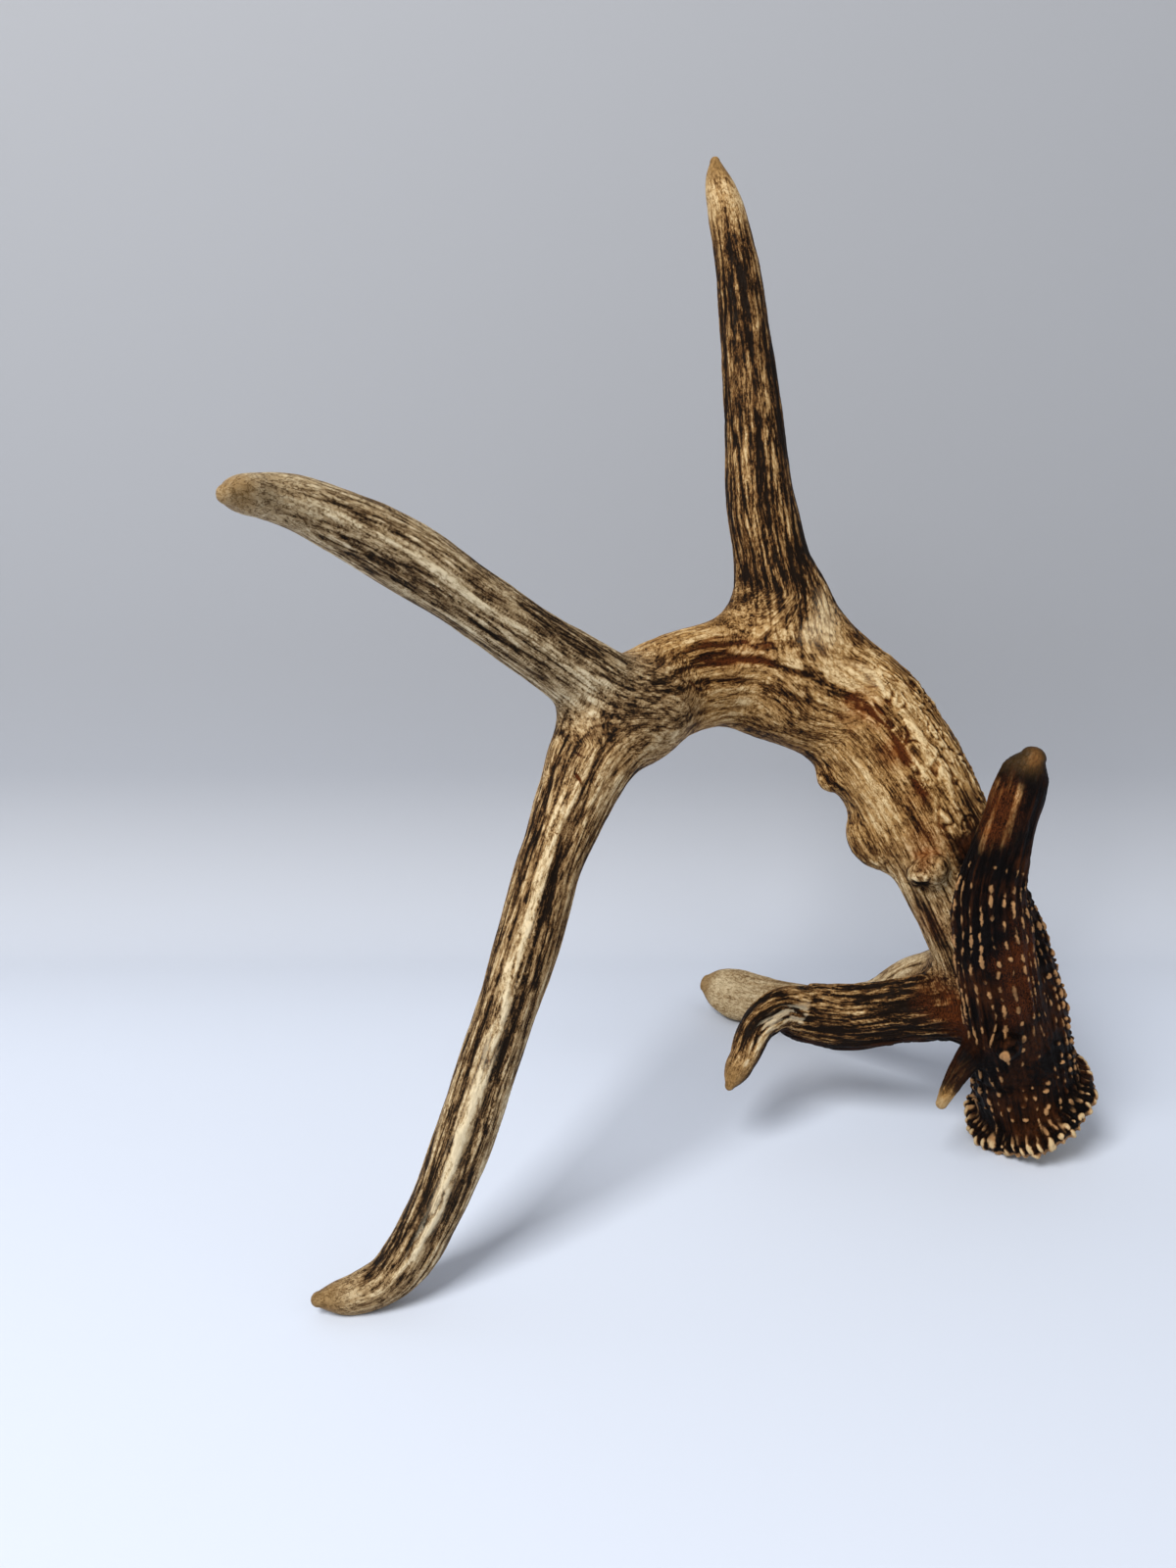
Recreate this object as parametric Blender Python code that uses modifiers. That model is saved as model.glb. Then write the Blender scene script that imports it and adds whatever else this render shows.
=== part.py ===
"""A shed deer antler, split at its main forks into eight solids.

The antler stands as it was set down, on three points: the rim of its burr, the end of
the back brow tine and the tip of the main beam. It is modelled in metres with +Z up.
Every dimension below is in millimetres, from a point on the ground between the three
feet; at the end the antler is moved so that the origin is the bottom centre of its box.

Each branch is a loft of elliptical sections along a smooth curve. The branches, the
turned burr and the knobs are melted into one skin, which rounds the forks, and the skin
is cut across at each fork by a thin kerf.
"""

from dataclasses import dataclass

import bmesh
import bpy
import numpy as np
from mathutils import Matrix, Vector

MM = 0.001

# Sections of each branch, from its root to its tip: x, y, z of the centre, then the
# full width across the branch as seen from the front, then the full depth.
MAIN_BEAM = (
    (151, -4, 25, 45, 45),
    (146, -6, 42, 46, 45),
    (138, -8, 68, 47, 45),
    (119, -8, 113, 49, 42),
    (101, -2, 147, 50, 39),
    (83, 6, 177, 55, 38),
    (60, 12, 202, 57, 35),
    (36, 13, 211, 51, 32),
    (11, 7, 216, 46, 32),
    (-14, -7, 213, 43, 32),
    (-33, -25, 205, 41, 32),
    (-47, -42, 193, 36, 30),
    (-55, -50, 177, 30, 28),
    (-64, -60, 155, 26, 25),
    (-73, -73, 126, 25, 24),
    (-85, -88, 91, 23, 22),
    (-97, -100, 57, 23, 22),
    (-109, -110, 30, 21, 20),
    (-116, -114, 18, 20, 19),
    (-126, -118, 9, 17, 17),
    (-136, -121, 6, 15, 14),
    (-144, -123, 6, 11, 10),
    (-149, -124, 6, 6, 6),
)
TALL_TINE = (
    (38, 12, 205, 48, 26),
    (35, 13, 228, 52, 29),
    (32, 14, 246, 43, 30),
    (28, 17, 262, 33, 28),
    (24, 21, 281, 30, 28),
    (20, 29, 319, 25, 24),
    (16, 38, 357, 21, 21),
    (12, 44, 385, 18, 18),
    (7, 48, 408, 14, 14),
    (4, 50, 418, 10, 9),
    (3, 51, 424, 5, 5),
)
FORK_TINE = (
    (-28, -24, 205, 34, 31),
    (-43, -36, 216, 32, 29),
    (-58, -45, 228, 28, 27),
    (-87, -62, 251, 25, 24),
    (-119, -78, 275, 25, 24),
    (-134, -87, 284, 22, 22),
    (-145, -96, 290, 19, 18),
    (-154, -106, 293, 15, 14),
    (-159, -117, 294, 11, 11),
    (-161, -123, 294, 6, 6),
)
FRONT_BROW_TINE = (
    (124, -12, 72, 33, 24),
    (108, -7, 68, 33, 21),
    (92, -1, 63, 31, 19),
    (64, 7, 56, 32, 18),
    (50, 9, 57, 28, 17),
    (39, 6, 60, 22, 16),
    (29, -1, 57, 18, 16),
    (20, -12, 45, 14, 13),
    (15, -17, 38, 10, 9),
    (13, -19, 35, 5, 5),
)
BACK_BROW_TINE = (
    (118, -4, 84, 27, 20),
    (104, 22, 66, 25, 16),
    (91, 50, 43, 22, 14),
    (74, 79, 26, 22, 13),
    (56, 102, 18, 24, 12),
    (42, 116, 15, 27, 12),
    (30, 127, 14, 27, 12),
    (22, 134, 14, 20, 9),
    (17, 138, 14, 10, 5),
)
BROW_BLADE = (
    (138, -20, 46, 35, 18),
    (126.5, -30, 82, 34, 19),
    (118, -37, 112, 33, 18),
    (113, -43, 134, 29, 17),
    (113.5, -46, 149, 26, 15),
    (116, -48, 166, 22.5, 14),
    (118.5, -49, 180, 22, 13),
    (121, -48, 188, 18, 11),
    (123, -48, 192.5, 10, 8),
)
KICKER_TINE = (
    (124, -22, 59, 20, 15),
    (115, -28, 53, 15, 11),
    (110, -31, 47, 12, 10),
    (106, -33, 41, 10, 8),
    (103, -34, 35, 6, 6),
)

# The burr: the crown at the root, where the antler was shed.
BURR_CENTRE = (153.0, -3.0, 19.0)
BURR_AXIS = (-0.58, -0.16, 0.80)
BURR_PROFILE = (
    (0.0, 12.0),
    (22.0, 9.5),
    (26.0, 6.5),
    (29.5, 3.5),
    (31.5, 0.0),
    (30.0, -2.5),
    (26.5, -4.0),
    (0.0, -4.5),
)
BURR_STEPS = 36
SEAT_RADIUS = 18.0
SEAT_THICKNESS = 8.0
SEAT_DROP = 6.5
SEAT_SIDES = 32

# Knobs: x, y, z of the centre, the half length, the half breadth, and the long axis.
KNOBS = (
    (74, 3, 142, 12.0, 9.5, (-0.56, 0.20, 0.80)),
    (54, 5, 169, 6.0, 6.5, (-0.75, 0.15, 0.64)),
    (128, -38, 64, 6.5, 5.6, (0.20, -0.90, 0.30)),
    (34, 121, 5.5, 13.0, 6.2, (-0.76, 0.64, -0.03)),
)

RING_STEP = 6.0
RING_SIDES = 16
VOXEL = 2.0
SMOOTH_PASSES = 8
SKIN_TRIANGLES = 6600

KERF = 0.3
KERF_MARGIN = 1.35
KERF_SIDES = 24
GROUND_BLOCK = (500.0, 500.0, 40.0)


@dataclass(frozen=True)
class Branch:
    """A lofted branch: its sections, and the direction its depth is measured along."""

    rows: tuple
    depth_axis: tuple = (0.0, 1.0, 0.0)


BRANCHES = {
    "beam": Branch(MAIN_BEAM),
    "tall": Branch(TALL_TINE),
    "fork": Branch(FORK_TINE),
    "front": Branch(FRONT_BROW_TINE),
    "back": Branch(BACK_BROW_TINE, (0.0, 0.5, -0.3)),
    "blade": Branch(BROW_BLADE),
    "kicker": Branch(KICKER_TINE),
}

# Where each fork is cut: the branch, the place along it as a share of its length, and
# the disc's radius as a multiple of the branch's own half width and half depth.
KERFS = (
    ("beam", 0.220, KERF_MARGIN),
    ("beam", 0.595, KERF_MARGIN),
    ("tall", 0.205, KERF_MARGIN),
    ("fork", 0.215, KERF_MARGIN),
    ("front", 0.275, KERF_MARGIN),
    ("back", 0.230, KERF_MARGIN),
    ("blade", 0.640, KERF_MARGIN),
)


@dataclass(frozen=True)
class Piece:
    """A finished solid: a point inside it, as a share along a branch, and its colour."""

    branch: str
    share: float
    colour: tuple
    roughness: float


PIECES = {
    "burr_and_base": Piece("beam", 0.10, (0.055, 0.030, 0.016), 0.55),
    "brow_blade": Piece("blade", 0.85, (0.050, 0.026, 0.014), 0.50),
    "front_brow_tine": Piece("front", 0.65, (0.120, 0.075, 0.042), 0.50),
    "back_brow_tine": Piece("back", 0.65, (0.300, 0.220, 0.140), 0.50),
    "beam_arc": Piece("beam", 0.42, (0.300, 0.210, 0.125), 0.50),
    "tall_tine": Piece("tall", 0.65, (0.220, 0.150, 0.090), 0.48),
    "fork_tine": Piece("fork", 0.65, (0.330, 0.250, 0.165), 0.48),
    "beam_tip": Piece("beam", 0.80, (0.340, 0.260, 0.170), 0.48),
}


def section_curve(branch, shares):
    """Sections at shares of a branch's length, on a cubic through its rows.

    Each row's slope is the mean of the slopes on its two sides, weighted by the other
    side's chord, so the curve stays smooth where the rows are unevenly spaced.
    """
    rows = np.array(branch.rows, dtype=float)
    chords = np.linalg.norm(np.diff(rows[:, :3], axis=0), axis=1)
    places = np.concatenate(([0.0], np.cumsum(chords)))
    secants = np.diff(rows, axis=0) / chords[:, None]
    slopes = np.empty_like(rows)
    slopes[0], slopes[-1] = secants[0], secants[-1]
    before, after = chords[:-1, None], chords[1:, None]
    slopes[1:-1] = (secants[:-1] * after + secants[1:] * before) / (before + after)
    at = np.asarray(shares) * places[-1]
    span = np.clip(np.searchsorted(places, at, side="right") - 1, 0, len(chords) - 1)
    length = chords[span][:, None]
    t = (at - places[span])[:, None] / length
    return (
        (2 * t**3 - 3 * t**2 + 1) * rows[span]
        + (t**3 - 2 * t**2 + t) * length * slopes[span]
        + (3 * t**2 - 2 * t**3) * rows[span + 1]
        + (t**3 - t**2) * length * slopes[span + 1]
    )


def section_frames(branch, shares):
    """Centres, tangents, width axes, depth axes and half sizes at shares of a branch."""
    shares = np.asarray(shares, dtype=float)
    rows = section_curve(branch, shares)
    nudge = 1e-3
    ahead = section_curve(branch, np.minimum(shares + nudge, 1.0))[:, :3]
    behind = section_curve(branch, np.maximum(shares - nudge, 0.0))[:, :3]
    tangents = ahead - behind
    tangents /= np.linalg.norm(tangents, axis=1)[:, None]
    axis = np.array(branch.depth_axis)
    depths = axis - (tangents @ axis)[:, None] * tangents
    depths /= np.linalg.norm(depths, axis=1)[:, None]
    widths = np.cross(tangents, depths)
    return rows[:, :3], tangents, widths, depths, rows[:, 3:] / 2


def new_collection(name):
    """A collection linked to the scene."""
    collection = bpy.data.collections.new(name)
    bpy.context.scene.collection.children.link(collection)
    return collection


def new_object(name, mesh, collection):
    """An object for a mesh, linked to a collection."""
    thing = bpy.data.objects.new(name, mesh)
    collection.objects.link(thing)
    return thing


def add_guide(name, mesh, collection):
    """An object that shapes others and isn't part of the antler."""
    guide = new_object(name, mesh, collection)
    guide.hide_render = True
    guide.display_type = "WIRE"
    return guide


def branch_mesh(name, branch):
    """A closed loft: rings of points round each section, and a point beyond each end."""
    rows = np.array(branch.rows, dtype=float)
    length = np.linalg.norm(np.diff(rows[:, :3], axis=0), axis=1).sum()
    count = max(int(round(length / RING_STEP)), 6) + 1
    centres, tangents, widths, depths, halves = section_frames(branch, np.linspace(0, 1, count))
    angles = np.linspace(0.0, 2 * np.pi, RING_SIDES, endpoint=False)
    rings = (
        centres[:, None]
        + np.cos(angles)[None, :, None] * (widths * halves[:, :1])[:, None]
        + np.sin(angles)[None, :, None] * (depths * halves[:, 1:])[:, None]
    )
    root = centres[0] - tangents[0] * halves[0].min() * 0.4
    tip = centres[-1] + tangents[-1] * halves[-1].min() * 0.8
    points = np.vstack((rings.reshape(-1, 3), root, tip)) * MM
    root_index, tip_index = count * RING_SIDES, count * RING_SIDES + 1
    faces = []
    for side in range(RING_SIDES):
        following = (side + 1) % RING_SIDES
        for ring in range(count - 1):
            low, high = ring * RING_SIDES, (ring + 1) * RING_SIDES
            faces.append((low + side, low + following, high + following, high + side))
        last = (count - 1) * RING_SIDES
        faces.append((root_index, following, side))
        faces.append((tip_index, last + side, last + following))
    mesh = bpy.data.meshes.new(name)
    mesh.from_pydata(points.tolist(), [], faces)
    return mesh


def placed(axis, centre):
    """A matrix that turns +Z to an axis and moves the origin to a centre in millimetres."""
    turn = Vector((0, 0, 1)).rotation_difference(Vector(axis).normalized())
    return Matrix.Translation(Vector(centre) * MM) @ turn.to_matrix().to_4x4()


def evaluated_mesh(thing):
    """The mesh of an object after its modifiers."""
    graph = bpy.context.evaluated_depsgraph_get()
    return bpy.data.meshes.new_from_object(thing.evaluated_get(graph))


def burr_mesh(collection):
    """The burr, turned from its profile with a Screw modifier and laid on its axis."""
    profile = bpy.data.meshes.new("burr_profile")
    points = [(radius * MM, 0.0, height * MM) for radius, height in BURR_PROFILE]
    edges = [(i, i + 1) for i in range(len(points) - 1)]
    profile.from_pydata(points, edges, [])
    turned = add_guide("burr_profile", profile, collection)
    screw = turned.modifiers.new("turn", "SCREW")
    screw.steps = screw.render_steps = BURR_STEPS
    screw.use_merge_vertices = True
    screw.merge_threshold = 0.00001
    mesh = evaluated_mesh(turned)
    mesh.transform(placed(BURR_AXIS, BURR_CENTRE))
    bpy.data.objects.remove(turned)
    return mesh


def knob_mesh(x, y, z, half_length, half_breadth, axis):
    """An egg-shaped knob, its long axis laid along an axis."""
    shape = bmesh.new()
    bmesh.ops.create_uvsphere(shape, u_segments=20, v_segments=12, radius=1.0)
    bmesh.ops.scale(shape, vec=(half_breadth * MM, half_breadth * MM, half_length * MM), verts=shape.verts)
    bmesh.ops.transform(shape, matrix=placed(axis, (x, y, z)), verts=shape.verts)
    mesh = bpy.data.meshes.new("knob")
    shape.to_mesh(mesh)
    shape.free()
    return mesh


def disc_mesh(name, radii, thickness, sides, matrix):
    """A flat elliptical disc, centred on its matrix, with its faces across the matrix's Z."""
    shape = bmesh.new()
    bmesh.ops.create_cone(
        shape, cap_ends=True, segments=sides, radius1=1.0, radius2=1.0, depth=thickness * MM
    )
    bmesh.ops.scale(shape, vec=(radii[0] * MM, radii[1] * MM, 1.0), verts=shape.verts)
    bmesh.ops.transform(shape, matrix=matrix, verts=shape.verts)
    mesh = bpy.data.meshes.new(name)
    shape.to_mesh(mesh)
    shape.free()
    return mesh


def joined_mesh(name, meshes):
    """One mesh holding the shells of several."""
    shape = bmesh.new()
    for mesh in meshes:
        shape.from_mesh(mesh)
    bmesh.ops.recalc_face_normals(shape, faces=shape.faces)
    mesh = bpy.data.meshes.new(name)
    shape.to_mesh(mesh)
    shape.free()
    return mesh


def melted_skin(collection):
    """All the branches, knobs and the burr as one smooth closed skin with rounded forks."""
    meshes = [branch_mesh(name, branch) for name, branch in BRANCHES.items()]
    meshes += [knob_mesh(*knob) for knob in KNOBS]
    meshes.append(burr_mesh(collection))
    skin = add_guide("skin", joined_mesh("skin", meshes), collection)
    remesh = skin.modifiers.new("melt", "REMESH")
    remesh.mode = "VOXEL"
    remesh.voxel_size = VOXEL * MM
    smooth = skin.modifiers.new("round", "SMOOTH")
    smooth.factor = 0.5
    smooth.iterations = SMOOTH_PASSES
    dense = evaluated_mesh(skin)
    dense.calc_loop_triangles()
    thin = skin.modifiers.new("thin", "DECIMATE")
    thin.ratio = SKIN_TRIANGLES / len(dense.loop_triangles)
    thin.use_collapse_triangulate = True
    return skin


def kerf_cutter(branch, share, margin):
    """A thin disc across a branch, a little larger than the branch's own section."""
    centres, tangents, widths, depths, halves = section_frames(branch, [share])
    turn = Matrix((Vector(depths[0]), Vector(widths[0]), Vector(tangents[0]))).transposed()
    matrix = Matrix.Translation(Vector(centres[0]) * MM) @ turn.to_4x4()
    return disc_mesh("kerf", halves[0][::-1] * margin, KERF, KERF_SIDES, matrix)


def add_boolean(thing, operation, tool):
    """An exact Boolean on an object."""
    cut = thing.modifiers.new(operation.lower(), "BOOLEAN")
    cut.operation = operation
    cut.object = tool
    cut.solver = "EXACT"


def cut_antler(guides):
    """The skin with its seat added, its feet trimmed to the ground and its kerfs cut."""
    skin = melted_skin(guides)
    axis = Vector(BURR_AXIS).normalized()
    middle = Vector(BURR_CENTRE) - axis * (SEAT_DROP - SEAT_THICKNESS / 2)
    seat = disc_mesh("seat", (SEAT_RADIUS, SEAT_RADIUS), SEAT_THICKNESS, SEAT_SIDES, placed(BURR_AXIS, middle))
    add_boolean(skin, "UNION", add_guide("seat", seat, guides))
    ground = bmesh.new()
    bmesh.ops.create_cube(ground, size=1.0)
    bmesh.ops.scale(ground, vec=Vector(GROUND_BLOCK) * MM, verts=ground.verts)
    bmesh.ops.translate(ground, vec=(0, 0, -GROUND_BLOCK[2] / 2 * MM), verts=ground.verts)
    block = bpy.data.meshes.new("ground")
    ground.to_mesh(block)
    ground.free()
    add_boolean(skin, "DIFFERENCE", add_guide("ground", block, guides))
    for number, (name, share, margin) in enumerate(KERFS):
        cutter = kerf_cutter(BRANCHES[name], share, margin)
        add_boolean(skin, "DIFFERENCE", add_guide(f"kerf_{number}", cutter, guides))
    return evaluated_mesh(skin)


def loose_bodies(mesh):
    """The connected bodies of a mesh, as lists of vertex indices."""
    leader = np.arange(len(mesh.vertices))
    ends = np.empty(len(mesh.edges) * 2, dtype=int)
    mesh.edges.foreach_get("vertices", ends)
    ends = ends.reshape(-1, 2)
    while True:
        lowest = np.minimum(leader[ends[:, 0]], leader[ends[:, 1]])
        np.minimum.at(leader, ends[:, 0], lowest)
        np.minimum.at(leader, ends[:, 1], lowest)
        leader = leader[leader]
        if (leader[ends[:, 0]] == leader[ends[:, 1]]).all():
            break
    return [np.flatnonzero(leader == index) for index in np.unique(leader)]


def body_mesh(name, source, indices):
    """A copy of a mesh that keeps only some of its vertices."""
    keep = set(indices.tolist())
    shape = bmesh.new()
    shape.from_mesh(source)
    others = [vertex for vertex in shape.verts if vertex.index not in keep]
    bmesh.ops.delete(shape, geom=others, context="VERTS")
    mesh = bpy.data.meshes.new(name)
    shape.to_mesh(mesh)
    shape.free()
    mesh.shade_smooth()
    mesh.set_sharp_from_angle(angle=0.9)
    return mesh


def finish(name, piece):
    """A piece's own material."""
    material = bpy.data.materials.new(name)
    material.use_nodes = True
    shader = material.node_tree.nodes["Principled BSDF"]
    shader.inputs["Base Color"].default_value = (*piece.colour, 1.0)
    shader.inputs["Roughness"].default_value = piece.roughness
    shader.inputs["Metallic"].default_value = 0.0
    return material


def main():
    """Build the antler and name its eight solids."""
    for thing in list(bpy.data.objects):
        bpy.data.objects.remove(thing)
    guides = new_collection("guides")
    antler = new_collection("deer_antler")
    whole = cut_antler(guides)
    points = np.empty(len(whole.vertices) * 3)
    whole.vertices.foreach_get("co", points)
    points = points.reshape(-1, 3)
    bodies = loose_bodies(whole)
    middle = (points.min(axis=0) + points.max(axis=0)) / 2
    origin = bpy.data.objects.new("antler_origin", None)
    antler.objects.link(origin)
    origin.location = (-middle[0], -middle[1], 0.0)
    for name, piece in PIECES.items():
        label = section_curve(BRANCHES[piece.branch], [piece.share])[0, :3] * MM
        reach = [np.linalg.norm(points[body] - label, axis=1).min() for body in bodies]
        mesh = body_mesh(name, whole, bodies[int(np.argmin(reach))])
        mesh.materials.append(finish(name, piece))
        solid = new_object(name, mesh, antler)
        solid.parent = origin


main()
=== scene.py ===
"""Dresses the shed deer antler: its grown skin, its colouring and the studio it stands in.

The antler is one grown piece. Its branches are elliptical tubes along smooth curves. They
are melted into one skin, the skin is drawn onto the smooth union of the branches, so that
every fork has its natural web, and the pearls, ridges, grooves and wrinkles are raised on
it. The finished skin is then cut across at the same planes as the solids, so each piece
stands for one of them, and no seam shows because the pieces share their normals.

Tables and sizes are in millimetres, as the solids were drawn; meshes are in metres.
"""

import logging
import math
from dataclasses import dataclass, field
from enum import Enum
from typing import Any

import bmesh
import bpy
import numpy as np
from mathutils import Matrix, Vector


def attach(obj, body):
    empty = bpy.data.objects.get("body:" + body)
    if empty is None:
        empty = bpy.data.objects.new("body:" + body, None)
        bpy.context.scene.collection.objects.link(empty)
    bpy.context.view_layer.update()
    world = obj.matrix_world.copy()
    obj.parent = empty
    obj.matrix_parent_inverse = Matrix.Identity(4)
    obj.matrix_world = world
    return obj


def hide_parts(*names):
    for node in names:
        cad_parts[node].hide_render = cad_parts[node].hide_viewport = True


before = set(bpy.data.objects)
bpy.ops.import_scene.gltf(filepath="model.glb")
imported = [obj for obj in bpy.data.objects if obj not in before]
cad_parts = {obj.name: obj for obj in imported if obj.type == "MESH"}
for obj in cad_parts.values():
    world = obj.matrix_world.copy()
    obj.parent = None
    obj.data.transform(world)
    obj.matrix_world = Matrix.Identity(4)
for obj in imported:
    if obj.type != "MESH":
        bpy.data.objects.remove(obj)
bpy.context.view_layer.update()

LOG = logging.getLogger("antler")
MM = 0.001
# The solids were drawn about a point between the feet; this moves them to their origin.
DRAWN_ORIGIN = np.array([-7.21, -6.30, 0.0])
SPACING = 0.72
# How many times the skin is drawn onto the smooth union.
SETTLE_ROUNDS = 4
# A cut looks at faces this near its plane, in mm, and this far out, in half sizes of the
# branch: over any skin, and over the branch's own.
CUT_BAND = 4.0
KERF_REACH = 1.35
OWN_REACH = 1.9
# A distance farther than anything on the antler, in mm.
FAR = 1e3
# Stretches of the beam, in mm from its root: where each fades in or out, from 0 to 1.
ARC_START = (110, 150)
ARC_END = (350, 300)
PALE_LEG_START = (370, 480)
PALE_LEG_END = (560, 520)
BROWN_TIP_START = (520, 560)


class Mark(Enum):
    """A mask on the skin, from 0 to 1, that the finish reads."""

    STAIN = "stain"
    RUST = "rust"
    BARE = "bare"
    PEARL = "pearl"
    GROOVE = "groove"
    # Ridges lighten the tone, as worn bone, and hollows darken it, as painted shade.
    RELIEF = "relief"
    DENSE = "dense"
    POLISH = "polish"
    WARM = "warm"


# The stored vectors that take the marks to the finish, three marks to a vector.
PACKED = {
    "coat": (Mark.STAIN, Mark.RUST, Mark.BARE),
    # The relief stored in wear also paints shade into the hollows.
    "wear": (Mark.PEARL, Mark.GROOVE, Mark.RELIEF),
    "tint": (Mark.DENSE, Mark.POLISH, Mark.WARM),
}
CARRIED = ("grain", *PACKED)


# ---------------------------------------------------------------- arrays and noise


def smoothstep(low: float, high: float, values: np.ndarray) -> np.ndarray:
    """An S-curve from 0 at low to 1 at high.

    Args:
        low: The value that gives 0.
        high: The value that gives 1. It may be below low, which turns the curve round.
        values: The values to map.

    Returns:
        The mapped values.
    """
    t = np.clip((values - low) / (high - low), 0.0, 1.0)
    return t * t * (3.0 - 2.0 * t)


def unit(vectors: np.ndarray) -> np.ndarray:
    """Each row scaled to length one."""
    return vectors / np.maximum(np.linalg.norm(vectors, axis=-1, keepdims=True), 1e-12)


# Large odd numbers that scatter whole coordinates and seeds over 32 bits, and the shifts
# that fold the high bits into the low ones.
AXIS_KEYS = (374761393, 668265263, 2246822519)
SEED_KEY = 3266489917
SEED_START = 974711
FOLDS = ((15, 2654435761), (13, 1274126177))
LAST_FOLD = 16


def lattice_hash(*whole: np.ndarray, seed: int = 0) -> np.ndarray:
    """A repeatable 32-bit number for each set of whole coordinates.

    Args:
        whole: Arrays of whole numbers, one for each coordinate.
        seed: Picks another set of numbers.

    Returns:
        Unsigned 32-bit numbers, made by multiplying each coordinate by its own large odd
        number, adding them, and folding the high bits into the low ones twice.
    """
    start = (seed * SEED_KEY + SEED_START) % 2**32
    mixed = np.full(np.broadcast(*whole).shape, start, dtype=np.uint32)
    for key, axis in zip(AXIS_KEYS, whole):
        mixed = mixed + axis.astype(np.int64).astype(np.uint32) * np.uint32(key)
    for shift, factor in FOLDS:
        mixed = (mixed ^ (mixed >> np.uint32(shift))) * np.uint32(factor)
    return mixed ^ (mixed >> np.uint32(LAST_FOLD))


def bit_groups(bits: np.ndarray, width: int, count: int) -> list[np.ndarray]:
    """Whole numbers read from groups of bits, from the lowest bits up.

    Args:
        bits: Unsigned 32-bit numbers.
        width: The number of bits in a group.
        count: The number of groups.

    Returns:
        An array for each group, from 0 to one less than two to the width.
    """
    mask = np.uint32(2**width - 1)
    return [((bits >> np.uint32(width * i)) & mask).astype(float) for i in range(count)]


def noise(points: np.ndarray, seed: int = 0) -> np.ndarray:
    """Smooth gradient noise, about -1 to 1, with features one unit across.

    At each corner of the unit cell round a point stands a random slope; the corner's
    height at the point is that slope times the offset, and the eight are blended with a
    quintic S-curve along each axis.

    Args:
        points: An array of 3-D points.
        seed: Picks another pattern.

    Returns:
        One value for each point.
    """
    cell = np.floor(points).astype(np.int64)
    offset = points - cell
    blend = offset**3 * (offset * (offset * 6.0 - 15.0) + 10.0)
    total = np.zeros(len(points))
    for corner in np.ndindex(2, 2, 2):
        step = np.array(corner)
        bits = lattice_hash(*(cell + step).T, seed=seed)
        away = offset - step
        slopes = [part / 511.5 - 1.0 for part in bit_groups(bits, 10, 3)]
        share = np.prod(np.where(step == 1, blend, 1.0 - blend), axis=1)
        total += share * sum(slope * away[:, axis] for axis, slope in enumerate(slopes))
    return total * 1.5


def layered_noise(points: np.ndarray, layers: int, seed: int = 0) -> np.ndarray:
    """Noise with finer and fainter noise added to it.

    Args:
        points: An array of 3-D points.
        layers: The number of layers, each half the size and height of the one before.
        seed: Picks another pattern.

    Returns:
        One value for each point.
    """
    total = np.zeros(len(points))
    for layer in range(layers):
        total += noise(points * 2.0**layer, seed + 17 * layer) / 2.0**layer
    return total


def beads(
    around: np.ndarray, along: np.ndarray, rows: int, spread: tuple, seed: int, link: float = 0.0
) -> np.ndarray:
    """Rounded beads standing in rows, 0 between them and up to 1 on top.

    The surface is unrolled into unit cells, with rows of them round the branch that sway
    a little. Each cell holds one bead, moved a little from the middle, with its own size;
    the height over a bead falls off as one minus the squared distance, over the bead's own
    radii. A low ridge may link the beads of a row.

    Args:
        around: The place round the branch, in turns from 0 to 1.
        along: The place along the branch, in cells.
        rows: The number of rows, which closes the pattern after one turn.
        spread: The beads' half sizes across and along their cells, as shares of a cell.
        seed: Picks another pattern.
        link: The height of the ridge along each row.

    Returns:
        The bead height at each point.
    """
    angle, ring = 2 * np.pi * around, rows / 12.0
    sway = noise(np.stack((ring * np.cos(angle), ring * np.sin(angle), along * 0.35), axis=1), seed)
    across = around * rows + 0.45 * sway
    off_row = (across - np.floor(across) - 0.5) / 0.20
    best = link * np.clip(1.0 - off_row**2, 0.0, 1.0)
    for step in np.ndindex(3, 3):
        row, column = np.floor(across) + step[0] - 1, np.floor(along) + step[1] - 1
        bits = lattice_hash(np.mod(row, rows), column, seed=seed)
        aside, ahead, size, length = (part / 255.0 for part in bit_groups(bits, 8, 4))
        size = 0.55 + 0.45 * size
        reach_across = (across - row - 0.5 - 0.22 * (aside - 0.5)) / (spread[0] * size)
        reach_along = (along - column - 0.5 - 0.7 * (ahead - 0.5)) / (spread[1] * (0.5 + length))
        height = size * np.clip(1.0 - reach_across**2 - reach_along**2, 0.0, 1.0) ** 0.7
        best = np.maximum(best, height)
    return best


# ---------------------------------------------------------------- the branches


@dataclass
class Hit:
    """Where points lie against a branch.

    Attributes:
        distance: Distance outside the branch's surface, negative inside, in mm.
        normal: The outward direction.
        along: Place along the branch's middle curve, in mm from its root.
        across: Offset along the width axis, in mm.
        deep: Offset along the depth axis, in mm.
        share_across: across over the half width there.
        share_deep: deep over the half depth there.
    """

    distance: np.ndarray
    normal: np.ndarray
    along: np.ndarray
    across: np.ndarray
    deep: np.ndarray
    share_across: np.ndarray
    share_deep: np.ndarray

    def turn(self) -> np.ndarray:
        """The angle round the branch in turns: 0 on the width axis, 0.25 at the back."""
        return np.arctan2(self.share_deep, self.share_across) / (2 * np.pi) % 1.0

    def front(self) -> np.ndarray:
        """1 on the front of the branch, 0 on its back, with a soft edge."""
        return smoothstep(-0.15, 0.25, -self.share_deep)

    def places(self, start: float = 0.0) -> np.ndarray:
        """The points in the branch's own straightened space, counted along from a start."""
        return np.stack((self.across, self.deep, self.along + start), axis=1)


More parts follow.
